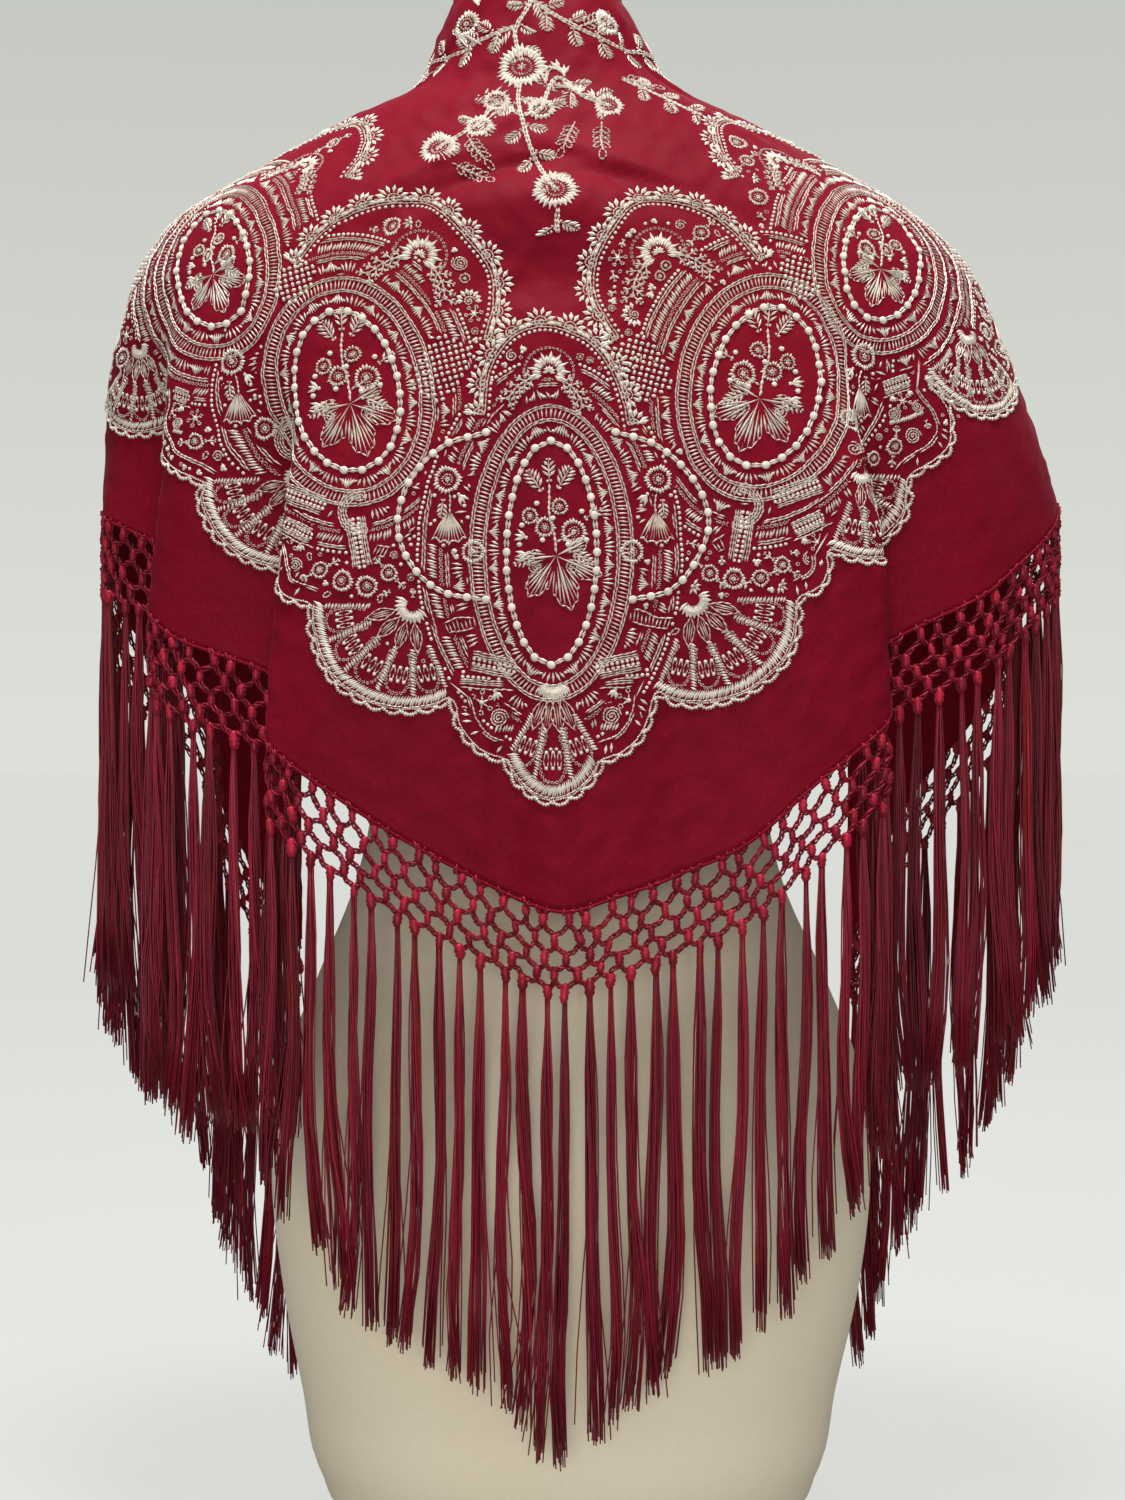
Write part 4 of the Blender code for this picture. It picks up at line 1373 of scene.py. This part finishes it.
def bouquet():
    # a vine leaf hanging under flowers, buds and leaves
    parts = [
        moved(vineLeaf(24), 2, -7, 196), moved(leaf(13, 6), -5, -5, 118), moved(leaf(13, 6), 7, -4, -120),
        moved(wheel(6.4), 9.5, 3.5), moved(wheel(5.0), -3.0, 5.5), moved(wheel(4.2), -9.5, 10.5),
        moved(wheel(4.2), 3.4, 14.5), moved(leaf(12, 7), -4, 21, 34), moved(leaf(12, 7.5), 2.5, 22, -30),
        moved(leaf(11, 6), -1, 25, 2), moved(bud(5.5), -11, 1, 75), moved(bud(5.5), -10.5, -6, 105),
        moved(leaf(9, 5), 14, 9, -60),
        cord([(2, -6), (1, 2), (-1, 11), (-1, 24)], 1.2, 2.4), cord([(2, -1), (6, 1), (10, 3)], 1.0, 2.4),
        moved(spiral(3.4), 9, -12, 20), moved(spiral(3.0), -7, -12, 140),
        knots([-4, -13, 7, 0.5, 13, -6.5, -14, 15], [0, 6.5, -2, 9.5, 12.5, 16, -2, 0],
              1.3, 1.2, 0, 1.1, 0.85),
    ]
    return together(*parts)


def windowCell():
    # a flower, a hanging leaf, a shell and a small flower, as between two medallions
    return together(
        moved(wheel(7.6), 0, 12), moved(leaf(10, 5), -3, 3, 165), moved(bud(6), 4.5, 4, -150),
        moved(shell(17, 60), -1, -3, 172), moved(wheel(6.6), 8, -25),
        cord([(0, 5), (0, 0), (-1, -4)], 0.9, 2.4),
        knots([6.5, -7, 7.5, -6], [-2, 5, -8, -20], 1.1, 1.0))


def starTuft():
    # a few stitches that spread from a knot
    return together(petals(np.linspace(-80, 80, 5), 0.8, 4.4, 1, 1, 0.65, 1.15), knots(0, 0, 1.0, 0.9))


# Where the motifs go: angle, height, and turn in degrees. Left is the left of the back.

sewnHere = {"waiting": [], "lines": [], "dots": [], "taken": np.zeros(0, np.int64), "rim": None}
unevenness = np.random.default_rng(11)


def sew(part, angle, z, turn=0.0, size=1.0, flip=1, yields=False):
    # anchors a motif at an angle and a height; one that yields is sewn on bare silk only
    lines, dots = moved(part, 0, 0, turn, size, flip)
    ends = np.empty((len(lines), 2, 4))
    ends[..., :2] = math.radians(angle), z
    ends[:, 0, 2:], ends[:, 1, 2:] = lines[:, 0:2] * mm, lines[:, 2:4] * mm
    middles = np.empty((len(dots), 4))
    middles[:, :2] = math.radians(angle), z
    middles[:, 2:] = dots[:, 0:2] * mm
    sewnHere["waiting"].append((ends, lines[:, 4:], middles, dots[:, 2:], yields))


def clothFrame(angle, z, creased=False):
    # the cloth's point, unit directions round it and up it, and how far one radian and one
    # metre of height go along it
    stepA, stepZ = 0.0015, 0.0006
    point = drape(angle, z, creased)
    wide = (drape(angle + stepA, z, creased) - drape(angle - stepA, z, creased)) / (2 * stepA)
    tall = (drape(angle, z + stepZ, creased) - drape(angle, z - stepZ, creased)) / (2 * stepZ)
    across = unit(wide)
    lean = np.sum(tall * across, axis=-1)
    upward = tall - lean[..., None] * across
    up = unit(upward)
    return point, across, up, np.linalg.norm(wide, axis=-1), lean, np.linalg.norm(upward, axis=-1)


def walk(anchors):
    # from each anchor over the cloth by its distances across and up: angles and heights
    angle, z = anchors[..., 0].copy(), anchors[..., 1].copy()
    for _ in range(sewing["steps"]):
        _, _, _, wide, lean, tall = clothFrame(angle, z)
        stepZ = anchors[..., 3] / sewing["steps"] / tall
        angle += (anchors[..., 2] / sewing["steps"] - stepZ * lean) / wide
        z += stepZ
    return angle, z


def alongCloth(path, spacing):
    # spots at even spacing along a path of (angle, height) rows, with each one's turn
    path = np.array(path, float)
    t = np.arange(len(path), dtype=float)
    fine = np.linspace(0, t[-1], 60 * len(path))
    table = {"t": t, "x": path[:, 0], "y": path[:, 1]}
    angle, z = (smoothLookup(fine, table, "t", axis) for axis in "xy")
    point, across, up, *_ = clothFrame(np.radians(angle), z)
    run = np.concatenate([[0], np.cumsum(np.linalg.norm(np.diff(point, axis=0), axis=1))])
    at = np.linspace(0, run[-1], max(2, round(run[-1] / spacing) + 1))
    way = np.gradient(point, axis=0)
    turn = np.unwrap(np.arctan2(np.sum(way * up, axis=-1), np.sum(way * across, axis=-1)))
    return tuple(np.interp(at, run, column) for column in (angle, z, np.degrees(turn)))


def stretchOf(path):
    # a path's length over the cloth, in whole millimetres
    return float(len(alongCloth(path, mm)[0]) - 1)


def sewAlong(part, path, yields=False):
    # bends a motif that runs along +X so that it follows a path on the cloth
    lines, dots = part
    angle, z, turn = alongCloth(path, mm)
    stops = np.arange(len(angle), dtype=float)

    def follow(x, y):
        here = np.radians(np.interp(x, stops, turn))
        return np.stack([np.radians(np.interp(x, stops, angle)), np.interp(x, stops, z),
                         -np.sin(here) * y * mm, np.cos(here) * y * mm], axis=-1)

    ends = np.stack([follow(lines[:, 0], lines[:, 1]), follow(lines[:, 2], lines[:, 3])], axis=1)
    rest = dots[:, 2:].copy()
    rest[:, 2] += np.radians(np.interp(dots[:, 0], stops, turn))
    sewnHere["waiting"].append((ends, lines[:, 4:], follow(dots[:, 0], dots[:, 1]), rest, yields))


def cellKeys(points):
    # one whole number for each cell of a fine grid in space
    cells = np.floor(points / sewing["cell"]).astype(np.int64) + 1024
    return (cells[..., 0] * 4096 + cells[..., 1]) * 4096 + cells[..., 2]


def isTaken(points):
    keys, taken = cellKeys(points), sewnHere["taken"]
    if not len(taken):
        return np.zeros(keys.shape, bool)
    return taken[np.clip(np.searchsorted(taken, keys), 0, len(taken) - 1)] == keys


def take(points):
    # marks the cells that hold these points, and those next to them
    near = np.array([-1, 0, 1]) * sewing["cell"]
    shifts = np.stack(np.meshgrid(near, near, near), axis=-1).reshape(-1, 3)
    points = points.reshape(-1, 3)
    keys = [np.unique(cellKeys(points + shift)) for shift in shifts]
    sewnHere["taken"] = np.unique(np.concatenate([sewnHere["taken"], *keys]))


def onCloth(angle, z):
    within = np.abs(angle) < math.radians(cloth["endAngle"] - 0.8)
    return within & (z > edgeHeight(angle) + 0.004) & (z < collarHeight(angle) - 0.003)


def insideRim(angle, z):
    rim = sewnHere["rim"]
    return z > np.interp(np.degrees(angle), np.maximum.accumulate(rim[:, 0]), rim[:, 1]) + 0.0015


def settle():
    # walks the waiting stitches to their places, leaves out those off the cloth and those
    # that yield where the silk is already sewn, and marks what they cover
    waiting, sewnHere["waiting"] = sewnHere["waiting"], []
    share = np.linspace(0, 1, 9)[None, :, None]
    for yielding in (False, True):
        groups = [group for group in waiting if group[4] == yielding]
        if not groups:
            continue
        ends, kind, middles, rest = (np.concatenate([group[k] for group in groups]) for k in range(4))
        ends[..., 2:] += unevenness.normal(0, 0.00014, ends[..., 2:].shape)
        angle, z = walk(ends)
        keep = onCloth(angle, z).all(axis=1)
        spots = drape(angle, z, False)
        along = spots[:, None, 0] * (1 - share) + spots[:, None, 1] * share
        dotAngle, dotZ = walk(middles)
        dotKeep = onCloth(dotAngle, dotZ)
        dotSpots = drape(dotAngle, dotZ, False)
        if yielding:
            keep &= ~isTaken(along).any(axis=1) & insideRim(angle, z).all(axis=1)
            dotKeep &= ~isTaken(dotSpots) & insideRim(dotAngle, dotZ)
        sewnHere["lines"].append((np.stack([angle, z], axis=-1)[keep], kind[keep]))
        sewnHere["dots"].append((np.stack([dotAngle, dotZ], axis=-1)[dotKeep], rest[dotKeep]))
        take(np.concatenate([along[keep].reshape(-1, 3), dotSpots[dotKeep]]))


# angle, height, half width, half height, turn, flip
medallionRows = (
    (-6, 0.507, 22, 55, 0, 1),
    (-43, 0.588, 27, 42, 14, 1), (39, 0.590, 27, 42, -14, -1),
    (-66, 0.657, 22, 36, 24, 1), (64, 0.659, 22, 36, -24, -1),
    (-99, 0.645, 23, 34, 6, 1), (98, 0.648, 23, 34, -6, -1),
    (-120, 0.560, 20, 36, -8, 1), (120, 0.563, 20, 36, 8, -1),
)
# border scallops: angle and height of the root, turn to the right of straight down,
# radius, span, lobes, and how far the rim draws in at its ends
fanRows = (
    (-131, 0.430, 44, 46, 100, 5, 0.05), (-123, 0.500, 44, 46, 100, 5, 0.05),
    (-111, 0.568, 42, 46, 100, 5, 0.05), (-97, 0.624, 26, 45, 104, 5, 0.05),
    (-78, 0.622, 0, 46, 106, 5, 0.05), (-55, 0.547, -33, 47, 110, 5, 0.05),
    (-31, 0.481, -34, 52, 112, 5, 0.05), (-5, 0.445, 0, 59, 62, 3, 0.22), (23, 0.484, 34, 52, 112, 5, 0.05),
    (49, 0.549, 33, 47, 110, 5, 0.05), (73, 0.626, 2, 46, 106, 5, 0.05), (94, 0.634, -24, 45, 104, 5, 0.05),
    (109, 0.577, -42, 46, 100, 5, 0.05), (122, 0.505, -44, 46, 100, 5, 0.05),
    (131, 0.434, -44, 46, 100, 5, 0.05),
)
# silk between the scallops: angle and height of its top middle, turn and size
windowRows = (
    (-19, 0.449, -4, 1.0), (10, 0.450, 4, 1.0), (-47, 0.520, -24, 0.8), (40, 0.523, 24, 0.8),
    (-66, 0.592, -20, 0.7), (61, 0.596, 20, 0.7), (-87, 0.628, 14, 0.7), (84, 0.634, -14, 0.7),
    (-104, 0.604, 38, 0.7), (102, 0.612, -38, 0.7), (-117, 0.540, 44, 0.7), (116, 0.548, -44, 0.7),
)
# arches: rows of angle and height, from the left end
archRows = (
    [(-54, 0.655), (-51, 0.672), (-45, 0.683), (-37, 0.687), (-29, 0.683), (-22, 0.668), (-16, 0.650),
     (-15, 0.630), (-17, 0.612)],
    [(12, 0.612), (8, 0.632), (9, 0.652), (14, 0.669), (21, 0.683), (29, 0.687), (37, 0.683), (42, 0.672),
     (45, 0.655)],
    [(-20, 0.575), (-18, 0.598), (-13, 0.614), (-6, 0.621), (1, 0.619), (8, 0.610), (12, 0.592),
     (13, 0.570)],
    [(-80, 0.722), (-72, 0.732), (-63, 0.737), (-56, 0.731), (-51, 0.717), (-50, 0.700)],
    [(48, 0.700), (49, 0.718), (54, 0.732), (62, 0.738), (71, 0.733), (79, 0.723)],
    [(-120, 0.685), (-110, 0.703), (-99, 0.712), (-88, 0.709), (-80, 0.698)],
    [(79, 0.699), (87, 0.710), (98, 0.713), (109, 0.704), (119, 0.687)],
    [(-131, 0.655), (-126, 0.666), (-119, 0.662), (-113, 0.645)],
    [(112, 0.647), (118, 0.664), (125, 0.668), (131, 0.657)],
)


def straight(length):
    # a run along +X, for what is then bent along a path
    return [(0, 0), (length / 3, 0), (2 * length / 3, 0), (length, 0)]


def sewMedallions():
    for angle, z, a, b, turn, flip in medallionRows:
        sew(medallion(a, b), angle, z, turn)
        tall = b > 50
        sew(bouquet(), angle, z + (0.006 if tall else 0.001), turn * 0.3, 1.12 if tall else a / 23, flip)


def sewArches():
    for path in archRows:
        sewAlong(arch(straight(stretchOf(path))), path)
    for angle, z, turn, size in (
        (-32, 0.656, -20, 1.0), (25, 0.657, 20, 1.0), (-4, 0.596, -6, 0.9),
        (-62, 0.710, -30, 0.8), (60, 0.712, 30, 0.8), (-97, 0.696, 0, 0.8), (96, 0.698, 0, 0.8),
    ):
        sew(halfFlower(), angle, z, turn, size)


def sewFillings():
    # trellis patches, window cells, scrolls and knotted bars between the medallions
    for angle, z, turn, wide, tall in (
        (-27, 0.598, -30, 24, 34), (17, 0.598, 30, 24, 34), (-53, 0.645, -30, 18, 24),
        (50, 0.646, 30, 18, 24), (-82, 0.665, -10, 18, 26), (81, 0.667, 10, 18, 26),
        (-112, 0.622, 10, 18, 26), (111, 0.625, -10, 18, 26),
    ):
        sew(trellis(wide, tall), angle, z, turn)
    for angle, z, turn, flip in (
        (-26, 0.531, 8, 1), (16, 0.531, -8, -1), (-60, 0.594, 14, 1), (56, 0.596, -14, -1),
        (-84, 0.640, 8, 1), (83, 0.642, -8, -1),
    ):
        sew(windowCell(), angle, z, turn, 1.0, flip)
    for path in (
        [(-19, 0.566), (-27, 0.560), (-32, 0.545), (-34, 0.524), (-32, 0.503), (-27, 0.488), (-19, 0.484)],
        [(9, 0.566), (17, 0.560), (23, 0.546), (26, 0.526), (24, 0.505), (19, 0.489), (11, 0.484)],
    ):
        sewAlong(pearls(straight(stretchOf(path))), path)
    for angle, z, turn, flip in (
        (-39, 0.527, 30, 1), (31, 0.530, -30, -1), (-54, 0.566, 30, 1), (50, 0.568, -30, -1),
    ):
        sew(scroll(11), angle, z, turn, 1.0, flip)
    for angle, z, turn, length in (
        (-44, 0.530, 70, 24), (36, 0.533, -70, 24), (-38, 0.500, 10, 24), (30, 0.503, -10, 24),
        (-13, 0.450, 78, 20), (4, 0.450, -78, 20),
    ):
        sew(knotBar(length), angle, z, turn)


def outerLine():
    # the border's outer line, which runs round every scallop from left to right
    rows = []
    for angle, z, turn, radius, span, _, point in fanRows:
        share = np.linspace(-1, 1, 11)
        heading = np.radians(turn + share * span / 2)
        reach = fanReach(share, radius, point) * mm
        spots = np.empty((11, 4))
        spots[:, 0], spots[:, 1] = math.radians(angle), z
        spots[:, 2], spots[:, 3] = reach * np.sin(heading), -reach * np.cos(heading)
        at, level = walk(spots)
        arcRow = np.stack([np.degrees(at), level], axis=1)
        if rows:
            # the silk between two scallops bulges out as well
            start, end = rows[-1][-1], arcRow[0]
            way = (end - start) * (1, 300)  # roughly as lengths on the cloth, in degrees
            bulge = np.array([way[1], -way[0] / 300]) * 0.17
            t = np.array([0.25, 0.5, 0.75])[:, None]
            rows.append(start + (end - start) * t + bulge * np.sin(math.pi * t))
        rows.append(arcRow)
    return np.concatenate(rows)


def sewBorder():
    for angle, z, turn, radius, span, lobes, point in fanRows:
        sew(fan(radius, span, lobes, point), angle, z, 180 + turn)
    rim = outerLine()
    rim = rim[np.abs(rim[:, 0]) < cloth["endAngle"] - 0.6]
    sewnHere["rim"] = rim
    length = stretchOf(rim)
    sewAlong(scallopCord(length), rim)
    settle()
    run = [(0, 0), (length / 2, 0), (length, 0)]
    sewAlong(band(run, 2.0, 6.4, 1.45, 1.1, 1.8, 0.5, 0.7), rim, True)
    settle()
    inner = [cord(np.add(run, (0, y)), 0.7, 3.0) for y in (7.6, 8.8)]
    sewAlong(together(*inner), rim, True)


def sewWindows():
    for angle, z, turn, size in windowRows:
        sew(starWindow(), angle, z, turn, size, 1, True)
    for angle, z, turn in ((-22, 0.470, 12), (14, 0.472, -12), (-38, 0.508, -20), (30, 0.511, 20)):
        sew(bridge(), angle, z, turn, 1.0, 1, True)


def sewNeckVine():
    # flowers and leaves on a stem that comes down from the collar
    for angle, z, radius, lobes in (
        (-10, 0.762, 14.5, 28), (2, 0.690, 12.5, 26), (-33, 0.715, 11.5, 24), (-23, 0.727, 8.5, 18),
        (25, 0.740, 8.5, 20), (-18, 0.742, 8, 18), (-1, 0.737, 8, 18), (-42, 0.790, 9, 20),
        (38, 0.790, 9, 20),
        (-75, 0.775, 9, 20), (76, 0.778, 9, 20), (-100, 0.770, 7, 16), (101, 0.772, 7, 16),
    ):
        sew(wheel(radius, lobes, 0.44), angle, z)
    for path in (
        [(-2, 0.822), (-4, 0.800), (-13, 0.783), (-10, 0.765)],
        [(-10, 0.752), (-9, 0.735), (-6, 0.716), (-2, 0.702), (2, 0.690)],
        [(2, 0.680), (1, 0.673), (1, 0.667)],
        [(-9, 0.733), (-18, 0.741), (-24, 0.728), (-33, 0.716)],
        [(-8, 0.733), (-1, 0.737), (6, 0.756), (16, 0.745), (25, 0.740)],
        [(-4, 0.800), (13, 0.788), (30, 0.780), (44, 0.776), (60, 0.778), (76, 0.778)],
        [(-13, 0.785), (-28, 0.780), (-45, 0.774), (-60, 0.774), (-75, 0.775)],
        [(76, 0.778), (90, 0.772), (101, 0.772), (115, 0.762)],
        [(-75, 0.775), (-90, 0.772), (-100, 0.770), (-115, 0.760)],
        [(34, 0.757), (44, 0.750), (54, 0.738)],
    ):
        length = stretchOf(path)
        for y, tone in ((0.6, 0.75), (-0.6, 0.6)):
            sewAlong(cord([(0, y), (length / 2, y), (length, y)], 1.2, 2.8, tone), path)
        pairs = max(1, int(length / 15))
        for k in range(pairs):
            x = length * (k + 0.5) / pairs
            sewAlong(moved(leaf(12, 7.5), x, 0.8, -35), path)
            sewAlong(moved(leaf(12, 7.5), x + 3, -0.8, -145), path)
    for angle, z, turn in (
        (-26, 0.722, -150), (20, 0.730, 178), (11, 0.730, 160), (34, 0.758, -100), (-28, 0.706, -120),
        (-30, 0.776, 60), (20, 0.785, -60), (60, 0.772, -120), (-60, 0.768, 120),
    ):
        sew(loopSpray(20, 4), angle, z, turn, 0.95)
    for angle, z, turn in (
        (7, 0.760, 40), (9, 0.757, 0), (13, 0.750, 60), (15, 0.746, -10), (21, 0.744, 40), (-36, 0.800, 20),
    ):
        sew(bud(7), angle, z, turn)


# Small motifs fill what the large ones leave bare, between the arches and the border

bareRange = columnsOf("angle low high", [
    (-131, 0.425, 0.640), (-124, 0.465, 0.650), (-116, 0.515, 0.655), (-107, 0.555, 0.685),
    (-98, 0.590, 0.700), (-88, 0.600, 0.700), (-78, 0.600, 0.705), (-68, 0.565, 0.715),
    (-60, 0.535, 0.720), (-53, 0.520, 0.665), (-46, 0.500, 0.668), (-40, 0.470, 0.672),
    (-32, 0.450, 0.672), (-24, 0.440, 0.655), (-18, 0.435, 0.612),
    (-10, 0.425, 0.608), (-5, 0.420, 0.610), (4, 0.430, 0.604), (10, 0.435, 0.610), (15, 0.440, 0.652),
    (23, 0.450, 0.672), (31, 0.470, 0.672), (38, 0.500, 0.668), (46, 0.520, 0.665), (54, 0.535, 0.720),
    (62, 0.560, 0.715), (72, 0.595, 0.705), (82, 0.606, 0.702), (92, 0.605, 0.702), (103, 0.575, 0.690),
    (113, 0.520, 0.660), (122, 0.470, 0.652), (131, 0.425, 0.640),
])


def openSilk(gap=1.6):
    # spots inside the medallions, where the silk stays bare
    rows = []
    for angle, z, a, b, turn, _ in medallionRows:
        x, y = np.meshgrid(np.arange(-a, a, gap), np.arange(-b, b, gap))
        inside = (x / a) ** 2 + (y / b) ** 2 < 1
        x, y = x[inside], y[inside]
        c, s = math.cos(math.radians(turn)), math.sin(math.radians(turn))
        spots = np.empty((len(x), 4))
        spots[:, 0], spots[:, 1] = math.radians(angle), z
        spots[:, 2], spots[:, 3] = (x * c - y * s) * mm, (x * s + y * c) * mm
        rows.append(spots)
    return np.concatenate(rows)


def sewBareSpots(radius, motifs, tries, source):
    # scatters small motifs where a disc of that radius, in mm, is bare: each ring of the
    # disc is tested in turn
    settle()
    angle = source.uniform(-math.radians(129), math.radians(129), tries)
    low, high = (smoothLookup(np.degrees(angle), bareRange, "angle", name) for name in ("low", "high"))
    z = low + (high - low) * source.uniform(0, 1, tries)
    free = ~isTaken(drape(angle, z, False))
    angle, z = angle[free], z[free]
    point, across, up, *_ = clothFrame(angle, z)
    for share, count in ((1.0, 7), (1.0, 17), (0.6, 9)):
        ring = arc(radius * share, 0, 360, count=count)[None] * mm
        rim = point[:, None] + across[:, None] * ring[..., :1] + up[:, None] * ring[..., 1:]
        free = ~isTaken(rim).any(axis=1)
        angle, z, point, across, up = (rows[free] for rows in (angle, z, point, across, up))
    left = np.ones(len(angle), bool)
    made = 0
    for k in range(len(angle)):
        if left[k]:
            made += 1
            sew(motifs[source.integers(len(motifs))], math.degrees(angle[k]), z[k], source.uniform(0, 360))
            left &= np.linalg.norm(point - point[k], axis=1) > 1.9 * radius * mm
    print(made, "bare spots of", radius, "mm filled")


def fillBareSpots():
    source = np.random.default_rng(23)
    leafyWheel = together(wheel(4.8), moved(leaf(6, 4), 0, 4.4), moved(leaf(6, 4), 0, -4.4, 180))
    for radius, tries, motifs in (
        (6.2, 150000, (wheel(6.0), leafyWheel)),
        (4.6, 250000, (dotFlower(3.8), moved(rosette(), 0, -2, 0, 0.8), wheel(4.4), spiral(4.2, 3))),
        (3.2, 300000, (
            starTuft(), spiral(3.0), dotFlower(2.6), moved(leaf(6.2, 4), 0, -3.1), wheel(3.1))),
        (2.1, 400000, (
            moved(leaf(4.2, 3), 0, -2), moved(bud(3.6), 0, -1.5), moved(loop(4, 2.4), 0, -2), wheel(2.1))),
        (1.3, 400000, (
            ringlets([(0, 0)], 9, 0.9, 0.5), knots(0, 0, 0.94, 0.9), moved(bud(2.6), 0, -1.2))),
    ):
        sewBareSpots(radius, motifs, tries, source)
    settle()


def makeStitches(name, lines, dots):
    # a stitch is a boat upside down on the silk: two ends, two flanks and a crest. A knot
    # is a low dome.
    ends, kind = lines
    point, across, up, *_ = clothFrame(ends[..., 0], ends[..., 1], True)
    normal = np.cross(across, up)
    point = point + normal * sewing["lift"]
    normal = unit(normal.sum(axis=1))
    start, end = point[:, 0], point[:, 1]
    side = unit(np.cross(normal, end - start)) * kind[:, :1] * sewing["weight"] * mm / 2
    middle = (start + end) / 2
    crest = middle + normal * kind[:, 1:2] * mm
    rows = np.stack([start, end, middle - side, middle + side, crest], axis=1)
    base = np.arange(len(rows))[:, None, None] * 5
    trios = base + np.array([(0, 2, 4), (0, 4, 3), (1, 4, 2), (1, 3, 4)])
    tone = np.repeat(kind[:, 2], 5)
    parts = [(rows.reshape(-1, 3), np.zeros((0, 4), int), trios.reshape(-1, 3), tone)]
    middles, kind = dots
    point, across, up, *_ = clothFrame(middles[:, 0], middles[:, 1], True)
    normal = np.cross(across, up)
    turn = kind[:, 2]
    long = across * np.cos(turn)[:, None] + up * np.sin(turn)[:, None]
    short = np.cross(normal, long)
    big, small = kind[:, 0] > 1.9, kind[:, 0] < 0.95
    for chosen, sides, rings in (
        (big, 9, ((1.0, 0.0), (0.93, 0.5), (0.6, 0.88))),
        (~big & ~small, 6, ((1.0, 0.0), (0.74, 0.7))),
        (small, 6, ((1.0, 0.2),)),
    ):
        picked = [column[chosen] for column in (point, long, short, normal, kind)]
        parts.append(domes(*picked, sides, rings))
    points, faces, tone = gather([part for part in parts if len(part[0])])
    made = addMesh(name, points, faces, ivory, tone=np.clip(tone, 0, 1), smooth=False)
    print(name, len(made.data.polygons), "faces")
    return made


def domes(point, long, short, normal, kind, sides, rings):
    # rings of (share of the width, share of the height), closed by a top point
    turn = np.linspace(0, 2 * math.pi, sides, endpoint=False)
    levels = []
    for reach, height in rings:
        ring = long[:, None] * (kind[:, 0, None] * np.cos(turn) * reach * mm)[..., None]
        ring = ring + short[:, None] * (kind[:, 1, None] * np.sin(turn) * reach * mm)[..., None]
        levels.append(point[:, None] + ring + normal[:, None] * (kind[:, 3] * height * mm)[:, None, None])
    top = (point + normal * kind[:, 3:4] * mm)[:, None]
    rows = np.concatenate([*levels, top], axis=1)
    each = rows.shape[1]
    k = np.arange(sides)
    n = (k + 1) % sides
    trios = []
    for ring in range(len(rings) - 1):
        low, high = ring * sides, (ring + 1) * sides
        trios += [np.stack([low + k, low + n, high + n], 1), np.stack([low + k, high + n, high + k], 1)]
    last = (len(rings) - 1) * sides
    trios.append(np.stack([last + k, last + n, np.full(sides, each - 1)], 1))
    trios = np.concatenate(trios)[None] + np.arange(len(rows))[:, None, None] * each
    tone = np.repeat(kind[:, 4], each)
    return rows.reshape(-1, 3), np.zeros((0, 4), int), trios.reshape(-1, 3), tone


def sewAll():
    sewMedallions()
    sewArches()
    sewBorder()
    sewNeckVine()
    settle()
    take(drape(*walk(openSilk()), False))
    sewFillings()
    settle()
    sewWindows()
    settle()
    for angle, z, a, b, turn, _ in medallionRows:
        sew(outerRings(a, b), angle, z, turn, yields=True)
        settle()
    fillBareSpots()
    ends, kind, middles, rest = (
        np.concatenate([group[k] for group in sewnHere[name]])
        for name in ("lines", "dots") for k in (0, 1))
    kind[:, 2] += unevenness.normal(0, 0.10, len(kind))
    rest[:, 4] += unevenness.normal(0, 0.07, len(rest))
    kind[:, 0] *= unevenness.uniform(0.88, 1.12, len(kind))
    print(len(kind), "stitches and", len(rest), "knots")
    # the pieces are parted by angle
    cuts = np.radians([-180, -85, -14, 8, 85, 180])
    made = []
    for k, name in enumerate(("FrontLeft", "Left", "Back", "Right", "FrontRight")):
        inLines = (ends[:, 0, 0] >= cuts[k]) & (ends[:, 0, 0] < cuts[k + 1])
        inDots = (middles[:, 0] >= cuts[k]) & (middles[:, 0] < cuts[k + 1])
        lines, dots = (ends[inLines], kind[inLines]), (middles[inDots], rest[inDots])
        made.append(makeStitches("embroidery" + name, lines, dots))
    return made


trims += sewAll()
print("embroidery sewn")
